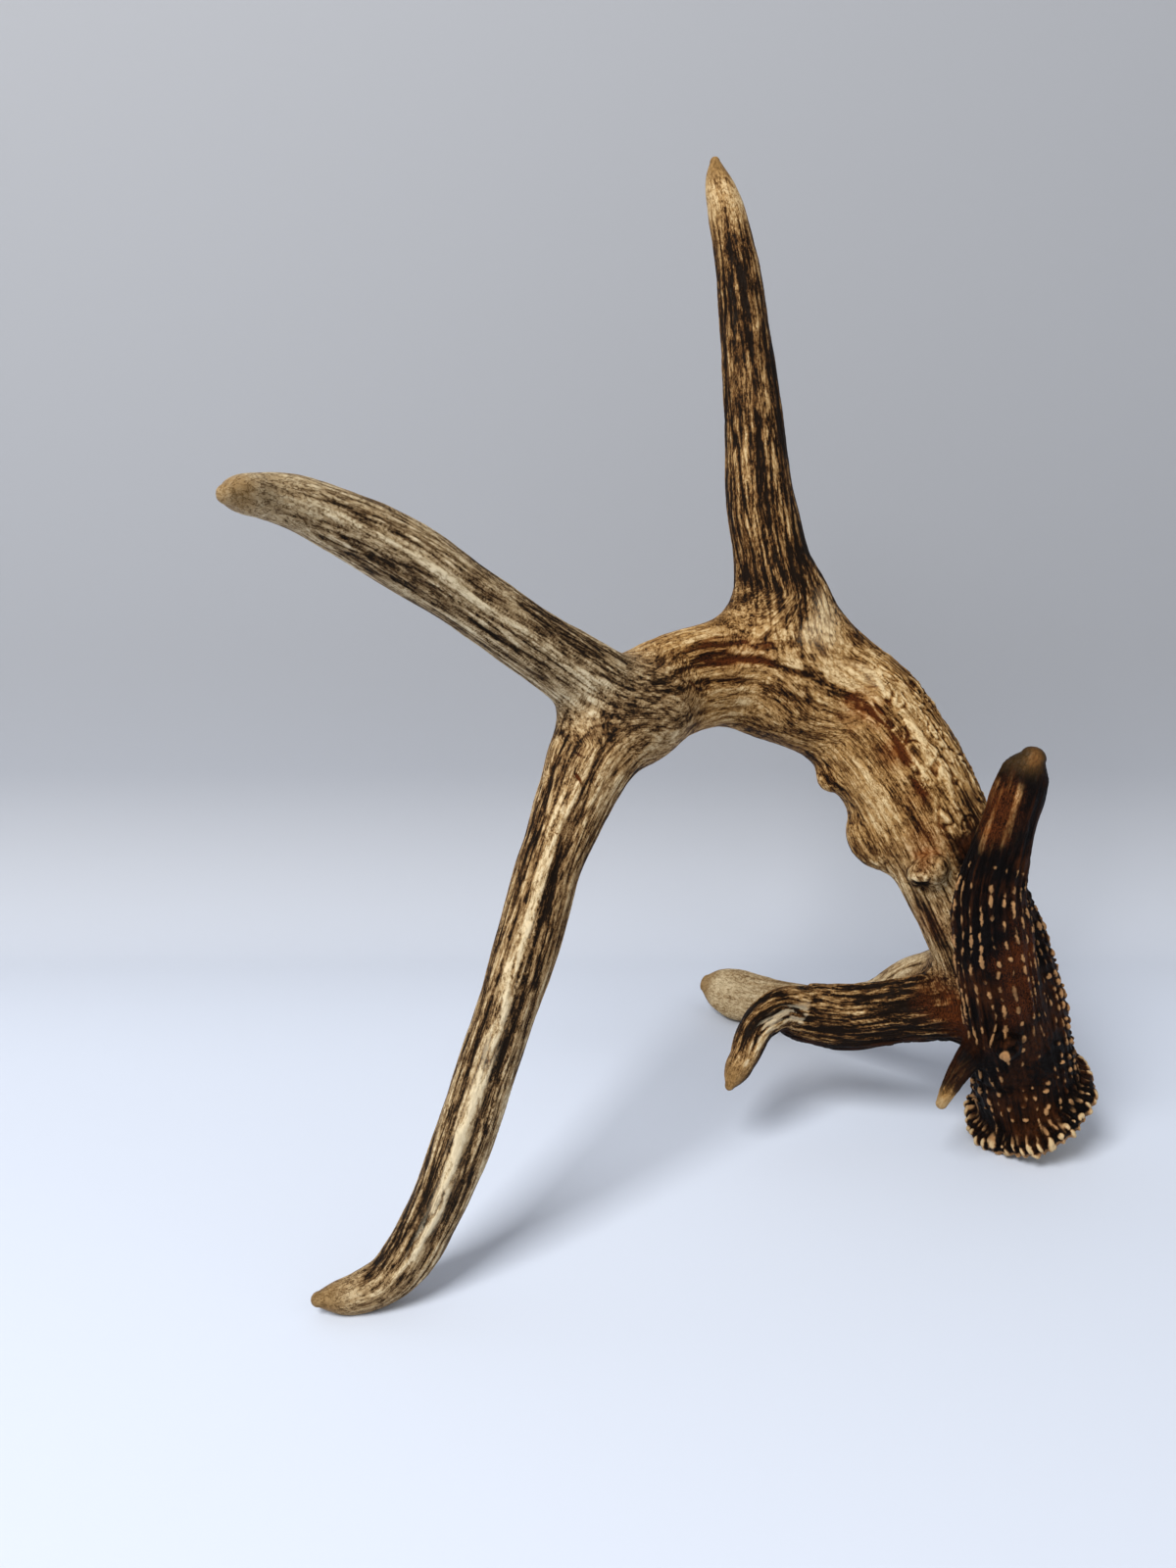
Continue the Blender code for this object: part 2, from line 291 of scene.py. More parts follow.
@dataclass
class Branch:
    """One branch: a tube of elliptical sections along a smooth curve.

    Attributes:
        rows: Sections from root to tip: x, y, z of the centre, full width, full depth.
        fillet: How far its web reaches where it leaves the rest, in mm.
        grain_start: Where its grain starts counting, so that it follows the beam's.
        depth_axis: The direction its depth is measured along.
        step: The distance between samples of its middle curve, in mm.
        ring_points: The number of points round its shell.
    """

    rows: tuple
    fillet: float = 10.0
    grain_start: float = 0.0
    depth_axis: tuple = (0.0, 1.0, 0.0)
    step: float = 1.5
    ring_points: int = 40

    def __post_init__(self) -> None:
        """Lay out the samples that the distance is measured against."""
        chords = np.linalg.norm(np.diff(np.array(self.rows, float)[:, :3], axis=0), axis=1)
        self.length = float(chords.sum())
        count = int(self.length / self.step) + 1
        shares = np.linspace(0.0, 1.0, count)
        self.spacing = self.length / (count - 1)
        self.centres, self.tangents, self.widths, self.depths, self.halves = self.frames(shares)

    def sections(self, shares: np.ndarray) -> np.ndarray:
        """Sections at shares of the length, on a cubic through the rows.

        Each row's slope is the mean of the slopes on its two sides, weighted by the other
        side's chord, so the curve stays smooth where the rows are unevenly spaced.

        Args:
            shares: Places from 0 at the root to 1 at the tip.

        Returns:
            One row for each share, laid out as the branch's own rows are.
        """
        rows = np.array(self.rows, dtype=float)
        chords = np.linalg.norm(np.diff(rows[:, :3], axis=0), axis=1)
        places = np.concatenate(([0.0], np.cumsum(chords)))
        secants = np.diff(rows, axis=0) / chords[:, None]
        slopes = np.empty_like(rows)
        slopes[0], slopes[-1] = secants[0], secants[-1]
        before, after = chords[:-1, None], chords[1:, None]
        slopes[1:-1] = (secants[:-1] * after + secants[1:] * before) / (before + after)
        at = np.asarray(shares) * places[-1]
        span = np.clip(np.searchsorted(places, at, side="right") - 1, 0, len(chords) - 1)
        length = chords[span][:, None]
        t = (at - places[span])[:, None] / length
        return (
            (2 * t**3 - 3 * t**2 + 1) * rows[span]
            + (t**3 - 2 * t**2 + t) * length * slopes[span]
            + (3 * t**2 - 2 * t**3) * rows[span + 1]
            + (t**3 - t**2) * length * slopes[span + 1]
        )

    def frames(self, shares: np.ndarray) -> tuple:
        """Where the branch's sections stand.

        Args:
            shares: Places from 0 at the root to 1 at the tip.

        Returns:
            Centres, tangents, width axes, depth axes and half sizes. The depth axis is the
            branch's own, made square to the tangent, and the width axis is square to both.
        """
        shares = np.asarray(shares, dtype=float)
        rows = self.sections(shares)
        nudge = 1e-3
        ahead = self.sections(np.minimum(shares + nudge, 1.0))[:, :3]
        behind = self.sections(np.maximum(shares - nudge, 0.0))[:, :3]
        tangents = unit(ahead - behind)
        axis = np.array(self.depth_axis)
        depths = unit(axis - (tangents @ axis)[:, None] * tangents)
        return rows[:, :3], tangents, np.cross(tangents, depths), depths, rows[:, 3:] / 2

    def shell(self) -> tuple[np.ndarray, np.ndarray]:
        """The tube as a grid: centre plus cosine of the angle times the half width, plus
        sine times the half depth, with a ring at each sample and a point past each end.

        Returns:
            Points in mm, and triangles that face outwards.
        """
        angles = np.linspace(0.0, 2 * np.pi, self.ring_points, endpoint=False)
        rings = (
            self.centres[:, None]
            + np.cos(angles)[None, :, None] * (self.widths * self.halves[:, :1])[:, None]
            + np.sin(angles)[None, :, None] * (self.depths * self.halves[:, 1:])[:, None]
        )
        root = self.centres[0] - self.tangents[0] * self.halves[0].min() * 0.4
        tip = self.centres[-1] + self.tangents[-1] * self.halves[-1].min()
        points = np.vstack((rings.reshape(-1, 3), root, tip))
        return points, closed_grid(len(self.centres), self.ring_points)

    def locate(self, points: np.ndarray) -> Hit:
        """Measure points against the branch.

        The nearest sample of the middle curve is found, the place along it is refined on
        the tangent, and the section there is read off. With k the offset measured in half
        sizes, the distance is the offset's length times one minus one over k.

        Args:
            points: Points in mm.

        Returns:
            The points' places against the branch.
        """
        nearest = np.empty(len(points), dtype=int)
        squares = (self.centres**2).sum(axis=1).astype(np.float32)
        targets = self.centres.astype(np.float32).T
        for start in range(0, len(points), 20000):
            part = points[start : start + 20000].astype(np.float32)
            nearest[start : start + 20000] = np.argmin(squares[None] - 2.0 * part @ targets, axis=1)
        offset = points - self.centres[nearest]
        lean = np.einsum("ij,ij->i", offset, self.tangents[nearest])
        place = np.clip(nearest + lean / self.spacing, 0.0, len(self.centres) - 1.0)
        low = np.minimum(place.astype(int), len(self.centres) - 2)
        part = (place - low)[:, None]

        def between(table: np.ndarray) -> np.ndarray:
            """The table's rows at the points' places."""
            return table[low] * (1.0 - part) + table[low + 1] * part

        offset = points - between(self.centres)
        tangents, widths = between(self.tangents), between(self.widths)
        depths, halves = between(self.depths), between(self.halves)
        across = np.einsum("ij,ij->i", offset, widths)
        deep = np.einsum("ij,ij->i", offset, depths)
        past = np.einsum("ij,ij->i", offset, tangents)
        past = np.where((place <= 0) | (place >= len(self.centres) - 1), past, 0.0)
        end_size = halves.min(axis=1)
        share_across, share_deep = across / halves[:, 0], deep / halves[:, 1]
        share_past = past / end_size
        k = np.sqrt(share_across**2 + share_deep**2 + share_past**2)
        reach = np.sqrt(across**2 + deep**2 + past**2)
        distance = np.where(k > 1e-4, reach - reach / np.maximum(k, 1e-4), -end_size)
        normal = unit(
            (share_across / halves[:, 0])[:, None] * widths
            + (share_deep / halves[:, 1])[:, None] * depths
            + (share_past / end_size)[:, None] * tangents
        )
        return Hit(distance, normal, place * self.spacing, across, deep, share_across, share_deep)


def closed_grid(rings: int, sides: int) -> np.ndarray:
    """Triangles of a closed tube: rings of points, then its root point and its tip point.

    Args:
        rings: The number of rings.
        sides: The number of points in a ring, in the order of growing angle.

    Returns:
        Triangles whose normals point outwards.
    """
    side = np.arange(sides)
    following = (side + 1) % sides
    low = (np.arange(rings - 1) * sides)[:, None]
    here, beside = low + side, low + following
    above, across = here + sides, beside + sides
    walls = [
        np.stack(corners, axis=-1).reshape(-1, 3)
        for corners in ((here, across, beside), (here, above, across))
    ]
    last = (rings - 1) * sides
    root = np.stack((np.full(sides, rings * sides), side, following), axis=1)
    tip = np.stack((np.full(sides, rings * sides + 1), last + following, last + side), axis=1)
    return np.concatenate((*walls, root, tip))


@dataclass
class Burr:
    """The burr: a rounded disc where the antler was shed, with the flat seal under it.

    Attributes:
        centre: The disc's centre, in mm.
        axis: The disc's axis, into the beam.
        radius: The disc's radius.
        half_thickness: Half its thickness.
        edge: The rounding of its rim.
        seal_radius: The radius of the bare pad under it.
        seal_drop: How far the pad's flat face lies below the centre.
        seal_rise: How far the pad reaches above the centre, inside the disc.
        seal_edge: The rounding of the pad.
        rim_points: The number of points round its shell.
        fillet: How far its web reaches.
    """

    centre: tuple = (153.0, -3.0, 19.0)
    axis: tuple = (-0.58, -0.16, 0.80)
    radius: float = 30.6
    half_thickness: float = 4.2
    edge: float = 3.6
    seal_radius: float = 21.0
    seal_drop: float = 6.5
    seal_rise: float = 2.0
    seal_edge: float = 1.6
    rim_points: int = 90
    fillet: float = 7.0

    def __post_init__(self) -> None:
        """Work out the burr's own axes."""
        self.up = unit(np.array(self.axis))
        self.side = unit(np.cross(self.up, (0.0, 1.0, 0.0)))
        self.ahead = np.cross(self.up, self.side)

    def polar(self, points: np.ndarray) -> tuple:
        """Measure points round the burr's axis.

        Args:
            points: Points in mm.

        Returns:
            Their distance from the axis, their height over the centre, their turn round
            the axis from 0 to 1, and the direction straight out from the axis.
        """
        offset = points - np.array(self.centre)
        height = offset @ self.up
        flat = offset - height[:, None] * self.up
        turn = np.arctan2(flat @ self.ahead, flat @ self.side) / (2 * np.pi) % 1.0
        return np.linalg.norm(flat, axis=1), height, turn, unit(flat)

    def rounded_disc(
        self, points: np.ndarray, radius: float, low: float, high: float, edge: float
    ) -> tuple:
        """Distance outside a rounded disc between two heights, and the outward direction.

        Args:
            points: Points in mm.
            radius: The disc's radius.
            low: Height of its lower face over the burr's centre.
            high: Height of its upper face.
            edge: The rounding radius.

        Returns:
            Distances, negative inside, and unit normals.
        """
        out, height, _, direction = self.polar(points)
        past_rim = out - (radius - edge)
        rise = height - (low + high) / 2
        past_face = np.abs(rise) - ((high - low) / 2 - edge)
        outside = np.hypot(np.maximum(past_rim, 0), np.maximum(past_face, 0))
        distance = outside + np.minimum(np.maximum(past_rim, past_face), 0.0) - edge
        both = (past_rim > 0) & (past_face > 0)
        rim_part = np.where(both, past_rim, (past_rim >= past_face).astype(float))
        face_part = np.where(both, past_face, (past_face > past_rim).astype(float))
        normal = rim_part[:, None] * direction + (face_part * np.sign(rise))[:, None] * self.up
        return distance, unit(normal)

    def locate(self, points: np.ndarray) -> tuple:
        """Distance outside the burr and its seal, and the outward direction.

        Args:
            points: Points in mm.

        Returns:
            Distances to the nearer of the two discs, and its normals.
        """
        half = self.half_thickness
        rim, rim_normal = self.rounded_disc(points, self.radius, -half, half, self.edge)
        seal, seal_normal = self.rounded_disc(
            points, self.seal_radius, -self.seal_drop, self.seal_rise, self.seal_edge
        )
        lower = seal < rim
        return np.where(lower, seal, rim), np.where(lower[:, None], seal_normal, rim_normal)

    def shell(self) -> tuple[np.ndarray, np.ndarray]:
        """The burr as a turned grid: a ring of points for each step of its profile.

        Returns:
            Points in mm, and triangles.
        """
        profile = (
            (self.seal_radius - 1.0, -self.seal_drop),
            (self.seal_radius, -self.half_thickness),
            (self.radius - self.edge, -self.half_thickness),
            (self.radius, -1.0),
            (self.radius, 1.0),
            (self.radius - self.edge, self.half_thickness),
        )
        turns = np.linspace(0.0, 2 * np.pi, self.rim_points, endpoint=False)
        spokes = np.cos(turns)[:, None] * self.side + np.sin(turns)[:, None] * self.ahead
        rings = [np.array(self.centre) + height * self.up + out * spokes for out, height in profile]
        ends = [np.array(self.centre) + height * self.up for height in (profile[0][1], profile[-1][1])]
        points = np.vstack((*rings, *ends))
        return points, closed_grid(len(profile), len(turns))


@dataclass
class Knob:
    """An egg-shaped knob.

    Attributes:
        centre: Its centre, in mm.
        half_length: Half its length along its axis.
        half_breadth: Half its breadth.
        axis: Its long axis.
        fillet: How far its web reaches.
    """

    centre: tuple
    half_length: float
    half_breadth: float
    axis: tuple
    fillet: float = 4.0

    def locate(self, points: np.ndarray) -> tuple:
        """Distance outside the egg, measured as for a branch, and the outward direction.

        Args:
            points: Points in mm.

        Returns:
            Distances, negative inside, and unit normals.
        """
        axis = unit(np.array(self.axis))
        offset = points - np.array(self.centre)
        along = offset @ axis
        flat = offset - along[:, None] * axis
        breadth_share = np.linalg.norm(flat, axis=1) / self.half_breadth
        k = np.sqrt((along / self.half_length) ** 2 + breadth_share**2)
        reach = np.linalg.norm(offset, axis=1)
        distance = reach - reach / np.maximum(k, 1e-4)
        normal = unit(along[:, None] * axis / self.half_length**2 + flat / self.half_breadth**2)
        return distance, normal

    def shell(self) -> tuple[np.ndarray, np.ndarray]:
        """The egg as a grid: rings round its axis, their radius the sine of the latitude.

        Returns:
            Points in mm, and triangles.
        """
        axis = unit(np.array(self.axis))
        side = unit(np.cross(axis, (0.3, 0.9, 0.2)))
        ahead = np.cross(axis, side)
        turns = np.linspace(0.0, 2 * np.pi, 24, endpoint=False)
        spokes = np.cos(turns)[:, None] * side + np.sin(turns)[:, None] * ahead
        latitudes = np.linspace(0.0, np.pi, 16)[1:-1]
        centre = np.array(self.centre)
        rings = [
            centre - np.cos(a) * self.half_length * axis + np.sin(a) * self.half_breadth * spokes
            for a in latitudes
        ]
        ends = [centre - self.half_length * axis, centre + self.half_length * axis]
        return np.vstack((*rings, *ends)), closed_grid(len(latitudes), len(turns))


# ---------------------------------------------------------------- the antler's own sizes

# Sections from root to tip: x, y, z of the centre, full width, full depth.
BEAM_ROWS = (
    (151, -4, 25, 45, 45),
    (146, -6, 42, 46, 45),
    (138, -8, 68, 47, 45),
    (119, -8, 113, 49, 42),
    (101, -2, 147, 50, 39),
    (83, 6, 177, 55, 38),
    (60, 12, 202, 57, 35),
    (36, 13, 211, 51, 32),
    (11, 7, 216, 46, 32),
    (-14, -7, 213, 43, 32),
    (-33, -25, 205, 41, 32),
    (-47, -42, 193, 36, 30),
    (-55, -50, 177, 30, 28),
    (-64, -60, 155, 26, 25),
    (-73, -73, 126, 25, 24),
    (-85, -88, 91, 23, 22),
    (-97, -100, 57, 23, 22),
    (-109, -110, 30, 21, 20),
    (-116, -114, 18, 20, 19),
    (-126, -118, 9, 17, 17),
    (-136, -121, 6, 15, 14),
    (-144, -123, 6, 11, 10),
    (-149, -124, 6, 6, 6),
)
TALL_ROWS = (
    (38, 12, 205, 48, 26),
    (35, 13, 228, 52, 29),
    (32, 14, 246, 43, 30),
    (28, 17, 262, 33, 28),
    (24, 21, 281, 30, 28),
    (20, 29, 319, 25, 24),
    (16, 38, 357, 21, 21),
    (12, 44, 385, 18, 18),
    (7, 48, 408, 14, 14),
    (4, 50, 418, 10, 9),
    (3, 51, 424, 5, 5),
)
FORK_ROWS = (
    (-28, -24, 205, 34, 31),
    (-43, -36, 216, 32, 29),
    (-58, -45, 228, 28, 27),
    (-87, -62, 251, 25, 24),
    (-119, -78, 275, 25, 24),
    (-134, -87, 284, 22, 22),
    (-145, -96, 290, 19, 18),
    (-154, -106, 293, 15, 14),
    (-159, -117, 294, 11, 11),
    (-161, -123, 294, 6, 6),
)
FRONT_ROWS = (
    (124, -12, 72, 33, 24),
    (108, -7, 68, 33, 21),
    (92, -1, 63, 31, 19),
    (64, 7, 56, 32, 18),
    (50, 9, 57, 28, 17),
    (39, 6, 60, 22, 16),
    (29, -1, 57, 18, 16),
    (20, -12, 45, 14, 13),
    (15, -17, 38, 10, 9),
    (13, -19, 35, 5, 5),
)
BACK_ROWS = (
    (118, -4, 84, 27, 20),
    (104, 22, 66, 25, 16),
    (91, 50, 43, 22, 14),
    (74, 79, 26, 22, 13),
    (56, 102, 18, 24, 12),
    (42, 116, 15, 27, 12),
    (30, 127, 14, 27, 12),
    (22, 134, 14, 20, 9),
    (17, 138, 14, 10, 5),
)
BLADE_ROWS = (
    (138, -20, 46, 35, 18),
    (126.5, -30, 82, 34, 19),
    (118, -37, 112, 33, 18),
    (113, -43, 134, 29, 17),
    (113.5, -46, 149, 26, 15),
    (116, -48, 166, 22.5, 14),
    (118.5, -49, 180, 22, 13),
    (121, -48, 188, 18, 11),
    (123, -48, 192.5, 10, 8),
)
KICKER_ROWS = (
    (124, -22, 59, 18, 13),
    (115, -28, 53, 13, 9),
    (110, -31, 47, 10, 8),
    (106, -33, 41, 8, 7),
    (103, -34, 35, 5, 5),
)


def grown_branches() -> dict[str, Branch]:
    """The beam and the branches that leave it, each with the reach of its web.

    Returns:
        The branches by name, in the order in which they are melted together.
    """
    return {
        "beam": Branch(BEAM_ROWS),
        "tall": Branch(TALL_ROWS, fillet=16.0, grain_start=215.0),
        "fork": Branch(FORK_ROWS, fillet=12.0, grain_start=305.0),
        "front": Branch(FRONT_ROWS, fillet=10.0, grain_start=55.0),
        "back": Branch(BACK_ROWS, fillet=10.0, grain_start=60.0, depth_axis=(0.0, 0.5, -0.3)),
        "blade": Branch(BLADE_ROWS, fillet=4.0, grain_start=20.0),
        "kicker": Branch(KICKER_ROWS, fillet=5.0, grain_start=30.0),
    }


KNOBS = (
    Knob((74, 3, 142), 12.0, 9.5, (-0.56, 0.20, 0.80), 11.0),
    Knob((55, 5, 170), 5.5, 5.5, (-0.75, 0.15, 0.64), 6.0),
    Knob((128, -38, 64), 6.5, 5.6, (0.20, -0.90, 0.30), 3.0),
    Knob((34, 121, 5.5), 13.0, 6.0, (-0.76, 0.64, -0.03), 4.0),
    Knob((93, -23, 137), 9.5, 6.5, (0.60, -0.45, 0.65), 4.0),
)


@dataclass(frozen=True)
class Grain:
    """How a branch's surface runs.

    Attributes:
        groove: Depth of the long grooves, in mm.
        width: Distance between grooves.
        length: How long a groove runs.
        stain: How far the heavy coat covers the branch, from 0 to 1.
        dense: How dense its dark streaks are.
        warm: How warm its colour is.
        calm_tip: Length from the tip over which the streaks fade.
    """

    groove: float
    width: float
    length: float
    stain: float
    dense: float
    warm: float
    calm_tip: float


GRAINS = {
    "beam": Grain(0.36, 3.6, 46.0, 0.06, 0.62, 0.60, 40.0),
    "tall": Grain(0.36, 3.2, 60.0, 0.15, 1.00, 0.80, 48.0),
    "fork": Grain(0.34, 2.6, 50.0, 0.06, 0.50, 0.20, 60.0),
    "front": Grain(0.70, 3.2, 50.0, 0.34, 0.85, 0.75, 30.0),
    "back": Grain(0.22, 3.6, 50.0, 0.00, 0.25, 0.45, 90.0),
    "blade": Grain(0.55, 3.8, 60.0, 0.85, 0.60, 0.90, 6.0),
    "kicker": Grain(0.50, 2.6, 20.0, 0.70, 0.60, 0.90, 6.0),
}


@dataclass(frozen=True)
class PearlRows:
    """Rows of pearls round a branch.

    Attributes:
        cell: The distance between the pearls of a row, in mm.
        rows: The number of rows.
        spread: A pearl's half sizes across and along its cell, as shares of the cell.
        seed: Picks the pattern.
        link: The height of the ridge along each row, as a share of a pearl's.
    """

    cell: float
    rows: int
    spread: tuple
    seed: int
    link: float

    def raised(self, hit: Hit) -> np.ndarray:
        """The height of the pearls at each point, from 0 to 1."""
        return beads(hit.turn(), hit.along / self.cell, self.rows, self.spread, self.seed, self.link)


PEARLS = {
    "beam": PearlRows(5.4, 28, (0.28, 0.36), 141, 0.12),
    "blade": PearlRows(7.0, 20, (0.23, 0.48), 151, 0.40),
    "front": PearlRows(8.0, 15, (0.24, 0.60), 161, 0.30),
}


@dataclass(frozen=True)
class Crease:
    """A ridge or groove that runs along the front of a branch.

    Attributes:
        branch: The branch it runs on.
        start: Where it starts, in mm from the branch's root.
        end: Where it ends.
        place_start: Its place across the branch at the start, in half widths.
        place_end: Its place across the branch at the end.
        half_width: Its half width, in half widths of the branch.
        height: Its height in mm, negative for a groove.
        bare: How bare it is worn.
        dark: How dark its bottom is.
        rust: How rusty it is.
    """

    branch: str
    start: float
    end: float
    place_start: float
    place_end: float
    half_width: float
    height: float
    bare: float = 0.0
    dark: float = 0.0
    rust: float = 0.0


CREASES = (
    Crease("beam", 345, 560, -0.22, -0.10, 0.26, 1.30, bare=0.60),
    Crease("beam", 350, 545, 0.20, 0.28, 0.24, -0.90, dark=0.65),
    Crease("beam", 350, 530, -0.68, -0.62, 0.18, -0.45, dark=0.55),
    Crease("beam", 345, 500, 0.62, 0.66, 0.16, -0.35, dark=0.35),
    Crease("beam", 140, 300, -0.02, -0.50, 0.09, -1.10, dark=1.0, rust=0.35),
    Crease("beam", 190, 325, 0.22, -0.15, 0.07, -0.60, dark=0.60, rust=0.20),
    Crease("beam", 200, 318, -0.72, -0.66, 0.10, -0.55, dark=0.80, rust=0.30),
    Crease("beam", 225, 322, -0.28, -0.42, 0.07, -0.50, dark=0.60, rust=0.30),
    Crease("beam", 240, 330, 0.55, 0.45, 0.08, -0.40, dark=0.50),
    Crease("beam", 120, 215, -0.34, -0.62, 0.12, 0.90, bare=0.25),
    Crease("beam", 150, 290, 0.95, 0.95, 0.16, -0.30, dark=0.55),
    Crease("beam", 130, 220, -0.96, -0.96, 0.20, -0.30, dark=0.50),
    Crease("fork", 30, 150, 0.35, 0.25, 0.12, -0.45, dark=0.45),
    Crease("fork", 40, 160, -0.55, -0.60, 0.20, -0.30, dark=0.45),
    Crease("fork", 30, 170, -0.20, -0.25, 0.18, 0.45, bare=0.25),
    Crease("tall", 60, 190, 0.62, 0.50, 0.22, 0.35, bare=0.35),
    Crease("tall", 50, 180, 0.05, -0.05, 0.16, -0.45, dark=0.50),
    Crease("front", 78, 130, -0.25, 0.10, 0.55, 0.80, bare=0.95),
    Crease("front", 82, 128, 0.85, 0.95, 0.35, -0.60, dark=0.60),
    Crease("front", 30, 85, -0.70, -0.60, 0.30, 0.40, bare=0.25),
    Crease("blade", 30, 150, -0.55, -0.40, 0.12, 0.90, bare=0.20),
    Crease("blade", 10, 120, 0.62, 0.72, 0.12, 0.90, bare=0.15),
)


@dataclass(frozen=True)
class Spot:
    """A soft round patch on the surface.

    Attributes:
        centre: Its centre, in mm.
        radius: Where it has faded away.
        stain: How much darker it is, or lighter if negative.
        rust: How rusty it is.
        bare: How bare it is.
        height: How far it is raised, negative for a dent.
    """

    centre: tuple
    radius: float
    stain: float = 0.0
    rust: float = 0.0
    bare: float = 0.0
    height: float = 0.0


SPOTS = (
    Spot((106, -16, 80), 18.0, rust=0.38),
    Spot((96, -14, 72), 14.0, rust=0.25),
    Spot((104, -34, 37), 7.5, stain=-0.80, bare=0.70),
    Spot((5, -5, 224), 15.0, rust=0.38, stain=0.18),
    Spot((20, -3, 226), 12.0, rust=0.32, stain=0.18),
    Spot((64, -8, 203), 14.0, rust=0.42, stain=0.24),
    Spot((78, -10, 186), 14.0, rust=0.42, stain=0.24),
    Spot((92, -20, 150), 14.0, rust=0.40, stain=0.12),
    Spot((88, -14, 166), 12.0, rust=0.30, stain=0.18),
    Spot((91, -24, 141), 9.0, rust=0.42, stain=0.10),
    # A dent under the blade's lower lip, painted near black: painted shade in the hollow.
    Spot((90, -25, 129), 8.0, stain=0.95, height=-2.4),
    Spot((99, -16, 112), 16.0, rust=0.35, stain=0.15),
    Spot((115, -20, 66), 20.0, rust=0.50, stain=0.30),
    Spot((126, -42, 106), 20.0, rust=0.60),
    Spot((122, -44, 126), 14.0, rust=0.45),
    Spot((132, -40, 84), 16.0, rust=0.60),
    Spot((108, -55, 174), 20.0, stain=-0.30, rust=0.55),
    Spot((107, -54, 160), 9.0, stain=-0.15, rust=0.30),
    Spot((114, -56, 179), 6.0, stain=-0.22),
    Spot((122, -54, 194), 9.0, stain=-0.30, rust=0.55),
    Spot((127, -44, 178), 17.0, stain=0.35),
    Spot((48, -2, 232), 24.0, bare=0.45, stain=-0.15),
    Spot((46, 8, 246), 24.0, bare=0.30, stain=-0.15),
    Spot((-155, -108, 293), 24.0, stain=0.26),
    Spot((66, -8, 216), 17.0, bare=0.38, stain=-0.10),
    Spot((86, -16, 196), 12.0, bare=0.08),
    Spot((76, -14, 158), 13.0, bare=0.25),
    Spot((92, -20, 126), 8.0, bare=0.15),
    Spot((29, 2, 183), 18.0, stain=0.28),
    Spot((40, 4, 180), 11.0, stain=0.30, rust=0.2),
    Spot((66, 2, 130), 9.0, stain=0.45, rust=0.2),
    Spot((-47, -52, 206), 14.0, bare=0.12, stain=0.08),
    Spot((-28, -30, 226), 12.0, stain=0.14),
    Spot((-60, -48, 238), 18.0, stain=0.10),
    Spot((127, -46, 66), 3.8, stain=0.60, height=-3.0),
    Spot((124.5, -45, 61.5), 2.4, bare=0.10, stain=-0.4),
    Spot((129, -20, 40), 26.0, stain=0.35),
    Spot((43, 124, 22), 16.0, stain=0.12),
)


@dataclass(frozen=True)
class Scratch:
    """A short cut across a branch: its middle, direction and half length, in mm."""

    middle: tuple
    direction: tuple
    half_length: float
    width: float = 1.1
    depth: float = 0.5


SCRATCHES = (
    Scratch((-15, -20, 216), (0.72, 0.0, -0.69), 8.0),
    Scratch((-12, -19, 217), (0.72, 0.0, -0.69), 8.5),
    Scratch((-9, -18, 218), (0.72, 0.0, -0.69), 7.0),
    Scratch((-18, -21, 214), (0.72, 0.0, -0.69), 5.0),
    Scratch((-54, -62, 196), (0.90, 0.0, -0.40), 5.0),
    Scratch((-54, -64, 188), (0.60, 0.0, -0.80), 3.0, 1.2),
    Scratch((-70, -83, 145), (0.95, 0.0, -0.30), 3.0, 0.9),
    Scratch((-71, -84, 142), (0.95, 0.0, -0.30), 2.6, 0.9),
    Scratch((-82, -98, 108), (0.90, 0.0, -0.40), 3.4, 0.9),
    Scratch((-84, -101, 100), (0.85, 0.0, -0.50), 2.2, 0.9),
    Scratch((-87, -103, 90), (0.95, 0.0, 0.25), 1.8, 0.9),
    Scratch((-62, -71, 168), (0.80, 0.0, -0.55), 4.0, 0.6),
)


# ---------------------------------------------------------------- the skin


